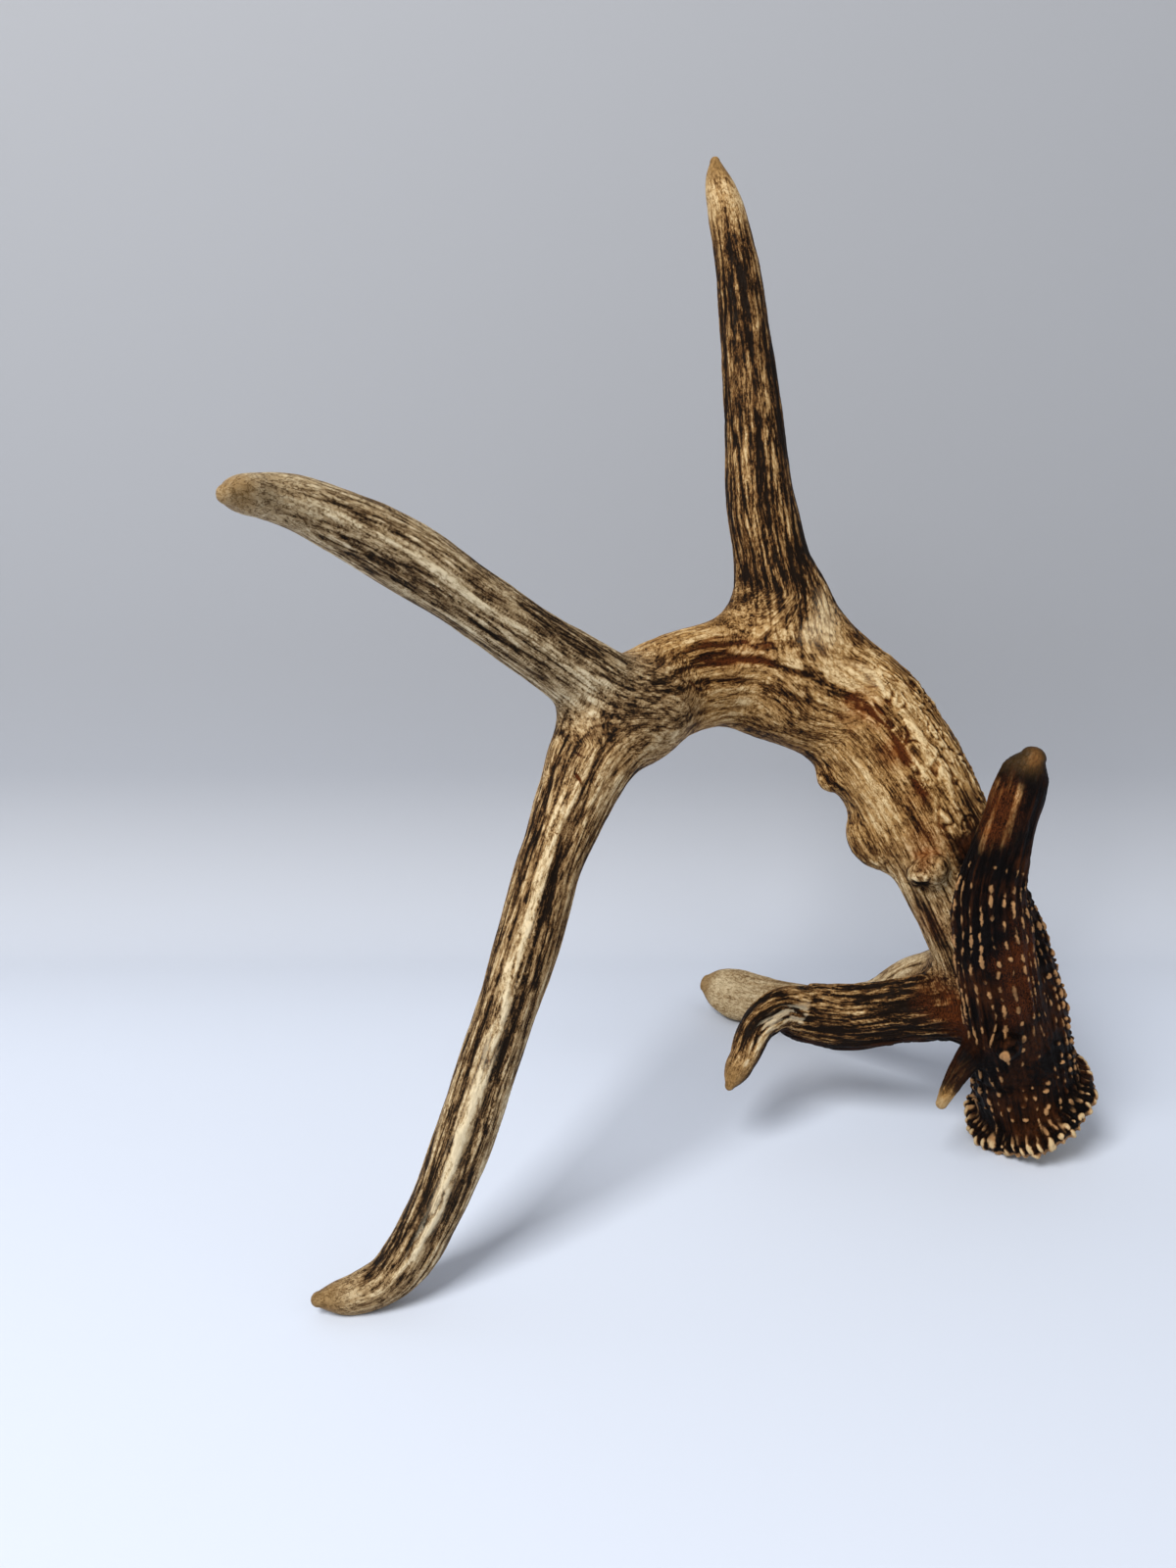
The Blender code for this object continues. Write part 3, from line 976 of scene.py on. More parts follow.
@dataclass
class Skin:
    """The skin of the whole antler, before it is cut apart.

    Attributes:
        points: Points in mm.
        quads: Faces of four points each.
        branches: The branches it covers.
        burr: The burr.
        hits: Where each point lies against each branch.
        weights: How far each point belongs to each branch; they add up to one.
        burr_weight: How far each point belongs to the burr.
        normal: The outward direction before the relief is raised.
        margin: How far off a branch points are still measured against it, in mm.
    """

    points: np.ndarray
    quads: np.ndarray
    branches: dict[str, Branch]
    burr: Burr
    hits: dict[str, Hit] = field(default_factory=dict)
    weights: dict[str, np.ndarray] = field(default_factory=dict)
    burr_weight: np.ndarray = field(default_factory=lambda: np.zeros(0))
    normal: np.ndarray = field(default_factory=lambda: np.zeros((0, 3)))
    margin: float = 30.0

    def measure(self) -> np.ndarray:
        """Measure the points against the smooth union of all the branches.

        Each shape is blended in turn: with the share half plus half the difference of the
        two distances over the fillet, held between 0 and 1, the distances are mixed by
        the share, and the fillet times share times one minus share is taken off, which
        fills the corner with a web.

        Returns:
            The distance of each point outside the union, in mm.
        """
        self.hits, self.weights = {}, {}
        distance = np.full(len(self.points), FAR)
        normal = np.zeros_like(self.points)
        for name, branch in self.branches.items():
            hit = self.near(branch)
            self.hits[name] = hit
            distance, normal, share = self.melted(
                distance, normal, hit.distance, hit.normal, branch.fillet
            )
            for other in self.weights:
                self.weights[other] = self.weights[other] * (1.0 - share)
            self.weights[name] = share
        for knob in KNOBS:
            distance, normal, _ = self.melted(distance, normal, *knob.locate(self.points), knob.fillet)
        distance, normal, self.burr_weight = self.melted(
            distance, normal, *self.burr.locate(self.points), self.burr.fillet
        )
        self.normal = unit(normal)
        return distance

    def near(self, branch: Branch) -> Hit:
        """A branch's measures, worked out only for the points near it.

        Args:
            branch: The branch.

        Returns:
            The points' places against it. Those far off are only marked as far.
        """
        margin = branch.halves.max() + self.margin
        low, high = branch.centres.min(axis=0) - margin, branch.centres.max(axis=0) + margin
        inside = np.all((self.points > low) & (self.points < high), axis=1)
        found = vars(branch.locate(self.points[inside]))
        spread = {}
        for key, values in found.items():
            fill = FAR if key == "distance" else 0.0
            spread[key] = np.full((len(self.points), *values.shape[1:]), fill)
            spread[key][inside] = values
        return Hit(**spread)

    @staticmethod
    def melted(
        distance: np.ndarray, normal: np.ndarray, other: np.ndarray, other_normal: np.ndarray, fillet: float
    ) -> tuple:
        """Blend two shapes by the formula that measure() gives.

        Args:
            distance: Distances outside the first shape.
            normal: Its outward directions.
            other: Distances outside the second shape.
            other_normal: Its outward directions.
            fillet: The reach of the web between them.

        Returns:
            The blended distances and directions, and the second shape's share.
        """
        reach = max(fillet, 0.1)
        share = np.clip(0.5 + 0.5 * (distance - other) / reach, 0.0, 1.0)
        mixed = distance * (1.0 - share) + other * share - reach * share * (1.0 - share)
        return mixed, normal * (1.0 - share)[:, None] + other_normal * share[:, None], share

    def settle(self, rounds: int) -> None:
        """Draw the points onto the smooth union, each round by the distance that is left.

        Args:
            rounds: The number of rounds.
        """
        for _ in range(rounds):
            self.points = self.points - self.measure()[:, None] * self.normal
        self.measure()

    def blended(self, values: dict[str, np.ndarray]) -> np.ndarray:
        """Values of the separate branches mixed by the points' weights.

        Args:
            values: Numbers or vectors for every point, by branch.

        Returns:
            One number or vector for each point.
        """
        total = sum(
            self.weights[name][:, None] * part.reshape(len(part), -1) for name, part in values.items()
        )
        return total[:, 0] if total.shape[1] == 1 else total


@dataclass
class Surface:
    """What is raised on the skin and how it is coloured, one value for each point.

    Attributes:
        skin: The skin it lies on.
        height: Relief in mm.
        marks: The masks that the finish reads.
    """

    skin: Skin
    height: np.ndarray = field(init=False)
    marks: dict[Mark, np.ndarray] = field(init=False)

    def __post_init__(self) -> None:
        """Start with no relief and no marks."""
        count = len(self.skin.points)
        self.height = np.zeros(count)
        self.marks = {mark: np.zeros(count) for mark in Mark}

    def lay(self) -> None:
        """Lay every feature in turn, and hold the marks between 0 and 1."""
        self.lay_grain()
        self.lay_pale_leg()
        self.lay_creases()
        self.lay_wrinkles()
        self.lay_dark_base()
        self.lay_pearls()
        self.lay_burr()
        self.lay_spots()
        self.lay_scratches()
        for mark in Mark:
            self.marks[mark] = np.clip(self.marks[mark], 0.0, 1.0)

    def add(self, mark: Mark, values: np.ndarray) -> None:
        """Add to a mark."""
        self.marks[mark] = self.marks[mark] + values

    def lay_grain(self) -> None:
        """Long grooves where stretched noise crosses zero, low waves, and the tips' wear."""
        skin = self.skin
        heights = {}
        mixed = {mark: {} for mark in (Mark.GROOVE, Mark.STAIN, Mark.DENSE, Mark.WARM, Mark.POLISH)}
        for number, (name, branch) in enumerate(skin.branches.items()):
            hit, grain = skin.hits[name], GRAINS[name]
            place = hit.places() / (grain.width, grain.width, grain.length)
            coarse = noise(place, 31 + number)
            fine = noise(place * 2.1, 47 + number)
            cut = np.clip(1.0 - np.abs(coarse) / 0.30, 0.0, 1.0) ** 1.5
            fine_cut = np.clip(1.0 - np.abs(fine) / 0.35, 0.0, 1.0) ** 1.5
            left = branch.length - hit.along
            calm = smoothstep(grain.calm_tip, 0.0, left)
            even = np.ones(len(left))
            heights[name] = grain.groove * (0.5 * coarse - cut - 0.45 * fine_cut) * (1.0 - 0.8 * calm)
            mixed[Mark.GROOVE][name] = np.maximum(cut, 0.6 * fine_cut) * (1.0 - calm)
            mixed[Mark.STAIN][name] = grain.stain * even
            mixed[Mark.DENSE][name] = grain.dense * (1.0 - 0.9 * calm)
            mixed[Mark.WARM][name] = grain.warm * even
            mixed[Mark.POLISH][name] = smoothstep(11.0, 3.0, left)
        arc = self.arc_share()
        self.height += skin.blended(heights) * (1.0 - 0.45 * arc)
        self.height += 0.70 * noise(skin.points / 26.0, 3) + 0.22 * noise(skin.points / 9.0, 4)
        self.add(Mark.GROOVE, skin.blended(mixed.pop(Mark.GROOVE)) * (1.0 - 0.4 * arc))
        for mark, values in mixed.items():
            self.add(mark, skin.blended(values))
        self.add(Mark.DENSE, -0.14 * arc)
        self.add(Mark.WARM, 0.35 * arc)

    def lay_pale_leg(self) -> None:
        """The far half of the beam, greyer and worn bare in front, with a browner end."""
        hit, weight = self.skin.hits["beam"], self.skin.weights["beam"]
        low = smoothstep(*PALE_LEG_START, hit.along) * weight
        self.add(Mark.WARM, -0.25 * low)
        self.add(Mark.BARE, 0.36 * low * smoothstep(*PALE_LEG_END, hit.along))
        self.add(Mark.STAIN, 0.22 * smoothstep(*BROWN_TIP_START, hit.along) * weight)
        self.add(Mark.DENSE, 0.25 * low * smoothstep(-0.45, -0.80, hit.share_across))

    def arc_share(self) -> np.ndarray:
        """How far each point belongs to the arc."""
        along = self.skin.hits["beam"].along
        return smoothstep(*ARC_START, along) * smoothstep(*ARC_END, along) * self.skin.weights["beam"]

    def lay_creases(self) -> None:
        """Ridges and grooves along a branch, with a bell-shaped section and faded ends."""
        skin = self.skin
        for number, crease in enumerate(CREASES):
            hit = skin.hits[crease.branch]
            way = (hit.along - crease.start) / (crease.end - crease.start)
            place = crease.place_start + (crease.place_end - crease.place_start) * np.clip(way, 0, 1)
            sway = noise(np.stack((hit.along / 24.0, np.full(len(way), number), way * 0), axis=1), 60)
            off = (hit.share_across - place - 0.10 * sway) / crease.half_width
            mask = np.exp(-off * off * 1.4) * smoothstep(0.0, 0.12, way) * smoothstep(1.0, 0.88, way)
            mask = mask * hit.front() * skin.weights[crease.branch]
            strands = hit.places() / (1.5, 1.5, 9.0)
            patchy = 0.15 + smoothstep(-0.45, 0.35, layered_noise(strands, 2, 71 + number))
            self.height += crease.height * mask * (0.7 + 0.3 * patchy)
            self.add(Mark.BARE, crease.bare * mask * patchy)
            self.add(Mark.GROOVE, crease.dark * mask * patchy)
            self.add(Mark.RUST, crease.rust * mask * patchy)

    def lay_wrinkles(self) -> None:
        """Worm-like wrinkles on the outer front of the arc: bent noise, folded at zero."""
        skin = self.skin
        hit = skin.hits["beam"]
        zone = smoothstep(112, 135, hit.along) * smoothstep(222, 190, hit.along)
        zone = zone * smoothstep(0.15, -0.20, hit.share_across) * smoothstep(0.35, -0.10, hit.share_deep)
        zone = zone * skin.weights["beam"] * smoothstep(-0.75, 0.10, noise(skin.points / 8.0, 85))
        place = hit.places() / (3.9, 3.9, 8.5)
        bend = np.stack([noise(place * 0.7, 80 + i) for i in range(3)], axis=1)
        folded = np.abs(noise(place + 0.8 * bend, 90))
        crevice = np.clip(1.0 - folded / 0.11, 0.0, 1.0)
        lip = np.exp(-(((folded - 0.26) / 0.12) ** 2))
        worm = np.clip(1.0 - np.abs(noise(place * 0.8 + 0.9 * bend, 93)) / 0.14, 0.0, 1.0)
        self.height += zone * (0.32 * lip + 0.45 * worm - 0.55 * crevice)
        self.add(Mark.GROOVE, 0.38 * zone * crevice)
        self.add(Mark.RUST, 0.40 * zone * crevice)
        self.add(Mark.BARE, zone * (0.20 * worm + 0.10 * lip))
        knotty = layered_noise(hit.places() * (1.0, 1.0, 0.6) / 3.2, 2, 95)
        self.height += self.arc_share() * (1.0 - zone) * 0.16 * knotty

    def lay_dark_base(self) -> None:
        """The dark coat of the base: all round by the burr, the antler's own colour, then
        on the outer and back faces only, fading out below the arc. On those faces, which
        lie away from the key light, the dark is partly the coat and partly painted shade;
        the front brow tine is darkened on its underside as painted shade."""
        skin = self.skin
        hit = skin.hits["beam"]
        ragged = 9.0 * layered_noise(skin.points / 16.0, 3, 120)
        foot = smoothstep(42, 16, hit.along + ragged)
        # The outer and back faces: partly the dark coat, partly painted shade on the side away from the key
        # light.
        outer = smoothstep(0.20, -0.20, hit.share_across + 0.012 * ragged)
        outer = outer * smoothstep(158, 108, hit.along + 1.6 * ragged)
        back = smoothstep(0.10, 0.55, hit.share_deep) * smoothstep(120, 80, hit.along + ragged)
        dark = np.maximum(np.maximum(foot, outer), 0.85 * back)
        self.add(Mark.STAIN, 0.92 * dark * skin.weights["beam"])
        front = skin.hits["front"]
        # Painted shade: the front brow tine darkened on its underside.
        under = smoothstep(-0.1, 0.7, front.share_across + 0.5 * front.share_deep)
        self.add(Mark.STAIN, 0.50 * under * skin.weights["front"])

    def lay_pearls(self) -> None:
        """Beads in rows on the base and the blade, thinning out upwards."""
        skin = self.skin
        base, blade, front = (skin.hits[name] for name in PEARLS)
        ragged = 14.0 * noise(skin.points / 18.0, 131)
        outer = smoothstep(150, 70, base.along + ragged) * smoothstep(0.75, 0.15, base.share_across)
        zones = {
            "beam": np.maximum(outer, smoothstep(60, 25, base.along)),
            "blade": smoothstep(125, 95, blade.along + ragged),
            "front": 0.50 * smoothstep(75, 30, front.along),
        }
        base, blade, front = (
            rows.raised(skin.hits[name]) * (zones[name] * skin.weights[name])
            for name, rows in PEARLS.items()
        )
        bead = np.maximum(np.maximum(base, blade), front)
        kept = 1.0 - skin.burr_weight
        self.height += (1.9 * np.maximum(base, front) + 1.3 * blade) * kept
        worn = np.clip(0.82 + 0.95 * layered_noise(skin.points / 9.0, 2, 171), 0.18, 1.0)
        self.add(Mark.PEARL, smoothstep(0.34, 0.66, bead) * worn * kept)

    def lay_burr(self) -> None:
        """Radial lumps over the burr's rim, a ragged outline and a spongy pale seal."""
        skin, burr = self.skin, self.skin.burr
        out, height, turn, _ = burr.polar(skin.points)
        path = out + np.maximum(burr.half_thickness - height, 0.0)
        ring = np.stack((np.cos(turn * 2 * np.pi), np.sin(turn * 2 * np.pi), out * 0), axis=1)
        rim = skin.burr_weight * smoothstep(burr.radius - 10.0, burr.radius - 5.0, out)
        rim = rim * smoothstep(-burr.half_thickness - 1.0, -burr.half_thickness + 1.5, height)
        lumps = beads(turn, path / 6.0 + 0.3, 40, (0.38, 0.60), 181, 0.20)
        lumps = np.maximum(lumps, 0.8 * beads(turn, path / 9.0 + 0.7, 23, (0.30, 0.50), 183))
        self.height += rim * (2.1 * lumps - 0.7 + 1.5 * noise(ring * 2.4, 191))
        self.add(Mark.STAIN, skin.burr_weight * 0.95)
        pale = np.clip(0.45 + 1.1 * layered_noise(ring * 3.4, 2, 192), 0.10, 1.0)
        outer = smoothstep(burr.radius - 6.5, burr.radius - 1.0, out)
        top = rim * smoothstep(0.36, 0.66, lumps)
        self.add(Mark.PEARL, top * np.maximum(pale, 0.95 * outer))
        self.add(Mark.BARE, 0.5 * top * outer)
        edge = smoothstep(0.5, -1.5, height) * smoothstep(burr.radius - 5.0, burr.radius - 2.0, out)
        self.add(Mark.PEARL, 0.60 * skin.burr_weight * edge * np.clip(0.5 + pale, 0.0, 1.0))
        seal = smoothstep(-burr.half_thickness + 0.8, -burr.half_thickness - 0.6, height)
        seal = seal * smoothstep(burr.radius - 1.0, burr.radius - 5.0, out)
        self.height += seal * (0.22 * noise(skin.points / 1.6, 201) - 0.25)
        for mark in (Mark.STAIN, Mark.PEARL):
            self.marks[mark] = self.marks[mark] * (1.0 - seal)
        self.add(Mark.BARE, 0.75 * seal)
        self.add(Mark.GROOVE, 0.5 * seal * smoothstep(0.0, 0.6, noise(skin.points / 1.8, 202)))

    def lay_spots(self) -> None:
        """Soft patches: one minus the squared distance over the radius, squared."""
        for number, spot in enumerate(SPOTS):
            offset = self.skin.points - np.array(spot.centre)
            ragged = 1.0 + 0.35 * noise(self.skin.points / (spot.radius * 0.45), 210 + number)
            reach = (offset**2).sum(axis=1) / (spot.radius * ragged) ** 2
            mask = np.clip(1.0 - reach, 0.0, 1.0) ** 1.5
            self.height += spot.height * mask
            for mark in (Mark.STAIN, Mark.RUST, Mark.BARE):
                self.add(mark, getattr(spot, mark.value) * mask)

    def lay_scratches(self) -> None:
        """Short straight cuts: depth falls off with the distance from a segment."""
        for scratch in SCRATCHES:
            offset = self.skin.points - np.array(scratch.middle)
            direction = unit(np.array(scratch.direction))
            along = np.clip(offset @ direction, -scratch.half_length, scratch.half_length)
            off = offset - along[:, None] * direction
            off[:, 1] *= 0.15
            taper = 1.0 - 0.6 * np.abs(along) / scratch.half_length
            mask = smoothstep(1.0, 0.35, np.linalg.norm(off, axis=1) / (scratch.width * taper))
            mask = mask * (np.abs(offset[:, 1]) < 12.0)
            self.height -= scratch.depth * mask
            self.add(Mark.RUST, 0.9 * mask)
            self.add(Mark.GROOVE, 1.2 * mask)

    def grain_places(self) -> np.ndarray:
        """Places in each branch's own straightened space, in mm, mixed where they meet."""
        skin = self.skin
        return skin.blended(
            {
                name: hit.places(skin.branches[name].grain_start)
                for name, hit in skin.hits.items()
            }
        )

    def raised_points(self) -> np.ndarray:
        """The skin's points moved out by the relief, none of them below the ground."""
        points = self.skin.points + self.height[:, None] * self.skin.normal
        points[:, 2] = np.maximum(points[:, 2], 0.0)
        return points

    def detail(self, spacing: float, reach: float = 2.6) -> np.ndarray:
        """How far each point stands over the mean height round about.

        The heights are averaged over each face and back onto the points, again and again;
        each round spreads them by about the points' spacing, so the number of rounds is
        the square of the reach over the spacing.

        Args:
            spacing: The distance between points, in mm.
            reach: The radius of the mean, in mm.

        Returns:
            Heights in mm, positive on ridges and negative in grooves.
        """
        quads = self.skin.quads
        uses = np.maximum(np.bincount(quads.ravel(), minlength=len(self.height)), 1)
        mean = self.height
        for _ in range(max(2, round((reach / spacing) ** 2))):
            faces = np.repeat(mean[quads].mean(axis=1), 4)
            mean = np.bincount(quads.ravel(), weights=faces, minlength=len(mean)) / uses
        return self.height - mean


# ---------------------------------------------------------------- meshes


def filled_mesh(name: str, points: np.ndarray, faces: np.ndarray) -> bpy.types.Mesh:
    """A mesh from arrays.

    Args:
        name: The mesh's name.
        points: Points.
        faces: Faces that all have the same number of points.

    Returns:
        The mesh, with its edges worked out.
    """
    mesh = bpy.data.meshes.new(name)
    mesh.vertices.add(len(points))
    mesh.vertices.foreach_set("co", points.astype(np.float32).ravel())
    mesh.loops.add(faces.size)
    mesh.loops.foreach_set("vertex_index", faces.astype(np.int32).ravel())
    mesh.polygons.add(len(faces))
    mesh.polygons.foreach_set("loop_start", np.arange(0, faces.size, faces.shape[1], dtype=np.int32))
    mesh.update(calc_edges=True)
    return mesh


def put_vectors(mesh: bpy.types.Mesh, name: str, values: np.ndarray) -> None:
    """Store one vector for each point of a mesh, under a name."""
    layer = mesh.attributes.new(name, "FLOAT_VECTOR", "POINT")
    layer.data.foreach_set("vector", values.astype(np.float32).ravel())


def got_vectors(mesh: bpy.types.Mesh, name: str) -> np.ndarray:
    """The vectors stored for each point of a mesh."""
    values = np.empty(len(mesh.vertices) * 3, dtype=np.float32)
    mesh.attributes[name].data.foreach_get("vector", values)
    return values.reshape(-1, 3).astype(float)


def mesh_arrays(mesh: bpy.types.Mesh, corners: int) -> tuple[np.ndarray, np.ndarray]:
    """Read a mesh into arrays.

    Args:
        mesh: The mesh.
        corners: The number of corners that each of its faces has.

    Returns:
        Its points and its faces.
    """
    points = np.empty(len(mesh.vertices) * 3, dtype=np.float32)
    mesh.vertices.foreach_get("co", points)
    faces = np.empty(len(mesh.loops), dtype=np.int32)
    mesh.loops.foreach_get("vertex_index", faces)
    return points.reshape(-1, 3).astype(float), faces.reshape(-1, corners)


def signed_volume(points: np.ndarray, triangles: np.ndarray) -> float:
    """The volume a closed surface holds, positive if its faces look outwards."""
    a, b, c = (points[triangles[:, i]] for i in range(3))
    return float(np.einsum("ij,ij->i", a, np.cross(b, c)).sum() / 6.0)


def point_normals(points: np.ndarray, quads: np.ndarray) -> np.ndarray:
    """Each point's normal: the sum of the cross products of its faces' diagonals."""
    corners = [points[quads[:, i]] for i in range(4)]
    across = np.cross(corners[2] - corners[0], corners[3] - corners[1])
    spread = np.repeat(across, 4, axis=0)
    index = quads.ravel()
    return unit(np.stack([np.bincount(index, spread[:, i], len(points)) for i in range(3)], axis=1))


def melted_skin(branches: dict[str, Branch], burr: Burr, spacing: float) -> Skin:
    """The shells of all the shapes melted into one skin of even quads.

    Args:
        branches: The branches by name.
        burr: The burr.
        spacing: The size of a quad, in mm.

    Returns:
        The skin, drawn onto the smooth union of the shapes.
    """
    shells = [branch.shell() for branch in branches.values()]
    shells += [knob.shell() for knob in KNOBS]
    shells.append(burr.shell())
    parts, faces, first = [], [], 0
    for points, triangles in shells:
        outward = signed_volume(points, triangles) > 0
        faces.append((triangles if outward else triangles[:, ::-1]) + first)
        parts.append(points)
        first += len(points)
    shell = bpy.data.objects.new("shells", filled_mesh("shells", np.vstack(parts), np.vstack(faces)))
    bpy.context.scene.collection.objects.link(shell)
    melt = shell.modifiers.new("melt", "REMESH")
    melt.mode = "VOXEL"
    melt.voxel_size = spacing
    evaluated = shell.evaluated_get(bpy.context.evaluated_depsgraph_get())
    points, quads = mesh_arrays(evaluated.to_mesh(), 4)
    evaluated.to_mesh_clear()
    source = shell.data
    bpy.data.objects.remove(shell)
    bpy.data.meshes.remove(source)
    skin = Skin(points, quads, branches, burr)
    skin.settle(SETTLE_ROUNDS)
    return skin


# ---------------------------------------------------------------- cutting into pieces


@dataclass(frozen=True)
class Kerf:
    """A cut square across a branch, at a share of its length."""

    branch: str
    share: float


KERFS = (
    Kerf("beam", 0.220),
    Kerf("beam", 0.595),
    Kerf("tall", 0.205),
    Kerf("fork", 0.215),
    Kerf("front", 0.275),
    Kerf("back", 0.230),
    Kerf("blade", 0.640),
)


@dataclass(frozen=True)
class Part:
    """A piece of the antler, known by a place on it: a share of a branch's length."""

    name: str
    branch: str
    share: float


PARTS = (
    Part("burr_and_base", "beam", 0.10),
    Part("brow_blade", "blade", 0.85),
    Part("front_brow_tine", "front", 0.65),
    Part("back_brow_tine", "back", 0.65),
    Part("beam_arc", "beam", 0.42),
    Part("tall_tine", "tall", 0.65),
    Part("fork_tine", "fork", 0.65),
    Part("beam_tip", "beam", 0.80),
)


def cut_skin(surface: Surface, spacing: float) -> bpy.types.Mesh:
    """Raise the relief and cut the skin at every kerf.

    Args:
        surface: The relief and the marks.
        spacing: The distance between points, in mm.

    Returns:
        One mesh of triangles in mm, split open along the cuts, with the attributes that
        the pieces carry.
    """
    skin = surface.skin
    points = surface.raised_points()
    mesh = filled_mesh("whole_skin", points, skin.quads)
    # The relief for the finish: worn ridges lighter, and hollows darker as painted shade.
    relief = np.clip(0.5 + 0.5 * surface.detail(spacing), 0.0, 1.0)
    marks = {**surface.marks, Mark.RELIEF: relief}
    put_vectors(mesh, "grain", surface.grain_places())
    for name, packed in PACKED.items():
        put_vectors(mesh, name, np.stack([marks[mark] for mark in packed], axis=1))
    put_vectors(mesh, "shade_normal", point_normals(points, skin.quads))
    centres = points[skin.quads].mean(axis=1)
    work = bmesh.new()
    work.from_mesh(mesh)
    work.faces.ensure_lookup_table()
    planes = [skin.branches[kerf.branch].frames(np.array([kerf.share])) for kerf in KERFS]
    bands = []
    for kerf, plane in zip(KERFS, planes):
        centre, tangent, width, depth, halves = (part[0] for part in plane)
        offset = centres - centre
        over = np.hypot(offset @ width / halves[0], offset @ depth / halves[1])
        own = skin.weights[kerf.branch][skin.quads].mean(axis=1) > 0.5
        reach = np.where(own, OWN_REACH, KERF_REACH)
        chosen = np.flatnonzero((np.abs(offset @ tangent) < CUT_BAND) & (over < reach))
        bands.append((centre, tangent, [work.faces[i] for i in chosen]))
    for centre, tangent, faces in bands:
        edges = [edge for face in faces for edge in face.edges]
        corners = [corner for face in faces for corner in face.verts]
        near = list({*faces, *edges, *corners})
        cut = bmesh.ops.bisect_plane(work, geom=near, dist=1e-4, plane_co=centre, plane_no=tangent)
        edges = [item for item in cut["geom_cut"] if isinstance(item, bmesh.types.BMEdge)]
        bmesh.ops.split_edges(work, edges=edges)
    bmesh.ops.triangulate(work, faces=work.faces[:])
    work.to_mesh(mesh)
    work.free()
    return mesh


def island_labels(count: int, triangles: np.ndarray) -> np.ndarray:
    """The lowest point number in each point's island.

    Each round takes the lower label over every edge, passes it to the points and to their
    old labels, and then follows the labels to their own labels.

    Args:
        count: The number of points.
        triangles: The triangles that join them.

    Returns:
        One label for each point.
    """
    labels = np.arange(count)
    starts, ends = triangles[:, :2].ravel(), triangles[:, 1:].ravel()
    while True:
        low = np.minimum(labels[starts], labels[ends])
        lowered = labels.copy()
        for places in (starts, ends, labels[starts], labels[ends]):
            np.minimum.at(lowered, places, low)
        for _ in range(4):
            lowered = lowered[lowered]
        if np.array_equal(lowered, labels):
            return labels
        labels = lowered


def rim_edges(triangles: np.ndarray, count: int) -> np.ndarray:
    """The edges that only one triangle uses.

    Args:
        triangles: The triangles.
        count: The number of points.

    Returns:
        Pairs of points, in the direction that their triangle runs them.
    """
    edges = np.vstack((triangles[:, :2], triangles[:, 1:], triangles[:, [2, 0]])).astype(np.int64)
    keys = edges.min(axis=1) * count + edges.max(axis=1)
    _, first, uses = np.unique(keys, return_index=True, return_counts=True)
    return edges[first[uses == 1]]


@dataclass
class Lot:
    """The cut skin as arrays, and where its islands lie.

    Attributes:
        points: Points in mm.
        triangles: Triangles.
        vectors: The named vectors of each point.
        labels: The island of each point.
    """

    points: np.ndarray
    triangles: np.ndarray
    vectors: dict[str, np.ndarray]
    labels: np.ndarray

    @classmethod
    def of_mesh(cls, mesh: bpy.types.Mesh) -> "Lot":
        """Read a cut skin, and drop its mesh.

        Args:
            mesh: The cut skin.

        Returns:
            The skin as arrays.
        """
        points, triangles = mesh_arrays(mesh, 3)
        vectors = {name: got_vectors(mesh, name) for name in (*CARRIED, "shade_normal")}
        bpy.data.meshes.remove(mesh)
        return cls(points, triangles, vectors, island_labels(len(points), triangles))

    def island_at(self, place: np.ndarray) -> int:
        """The island of the point nearest to a place."""
        return int(self.labels[np.argmin(((self.points - place) ** 2).sum(axis=1))])

    def piece_mesh(self, name: str, island: int) -> bpy.types.Mesh:
        """One island as a closed mesh in metres.

        Each open rim is closed with a fan of triangles to the middle of the rim. The skin
        keeps the normals of the whole antler, so that it shades on without a seam.

        Args:
            name: The mesh's name.
            island: The island's label.

        Returns:
            The mesh.
        """
        mine = self.labels == island
        number = np.cumsum(mine) - 1
        triangles = number[self.triangles[mine[self.triangles[:, 0]]]]
        points = self.points[mine]
        vectors = {key: values[mine] for key, values in self.vectors.items()}
        skin_normals = vectors["shade_normal"][triangles]
        rim = rim_edges(triangles, len(points))
        rim_labels = self.rim_groups(rim, len(points))
        fans, normals = [], [skin_normals.reshape(-1, 3)]
        for label in np.unique(rim_labels):
            edges = rim[rim_labels == label]
            members = np.unique(edges)
            fan = np.column_stack((edges[:, ::-1], np.full(len(edges), len(points))))
            points = np.vstack((points, points[members].mean(axis=0)))
            vectors = {key: np.vstack((v, v[members].mean(axis=0))) for key, v in vectors.items()}
            a, b, c = (points[fan[:, i]] for i in range(3))
            normals.append(np.tile(unit(np.cross(b - a, c - a).sum(axis=0)), (3 * len(fan), 1)))
            fans.append(fan)
        mesh = filled_mesh(name, (points + DRAWN_ORIGIN) * MM, np.vstack((triangles, *fans)))
        for key in CARRIED:
            put_vectors(mesh, key, vectors[key])
        mesh.normals_split_custom_set(np.vstack(normals).tolist())
        return mesh

    @staticmethod
    def rim_groups(rim: np.ndarray, count: int) -> np.ndarray:
        """A label for each rim edge, the same round one rim."""
        return island_labels(count, np.column_stack((rim, rim[:, :1])))[rim[:, 0]]


# ---------------------------------------------------------------- the finish


def linear(*levels: int) -> tuple:
    """A colour in linear light, by the sRGB curve.

    Args:
        levels: Red, green and blue as a screen's levels, from 0 to 255.

    Returns:
        Red, green, blue and a solid alpha, from 0 to 1.
    """
    shares = [level / 255.0 for level in levels]
    return (*[s / 12.92 if s <= 0.04045 else ((s + 0.055) / 1.055) ** 2.4 for s in shares], 1.0)


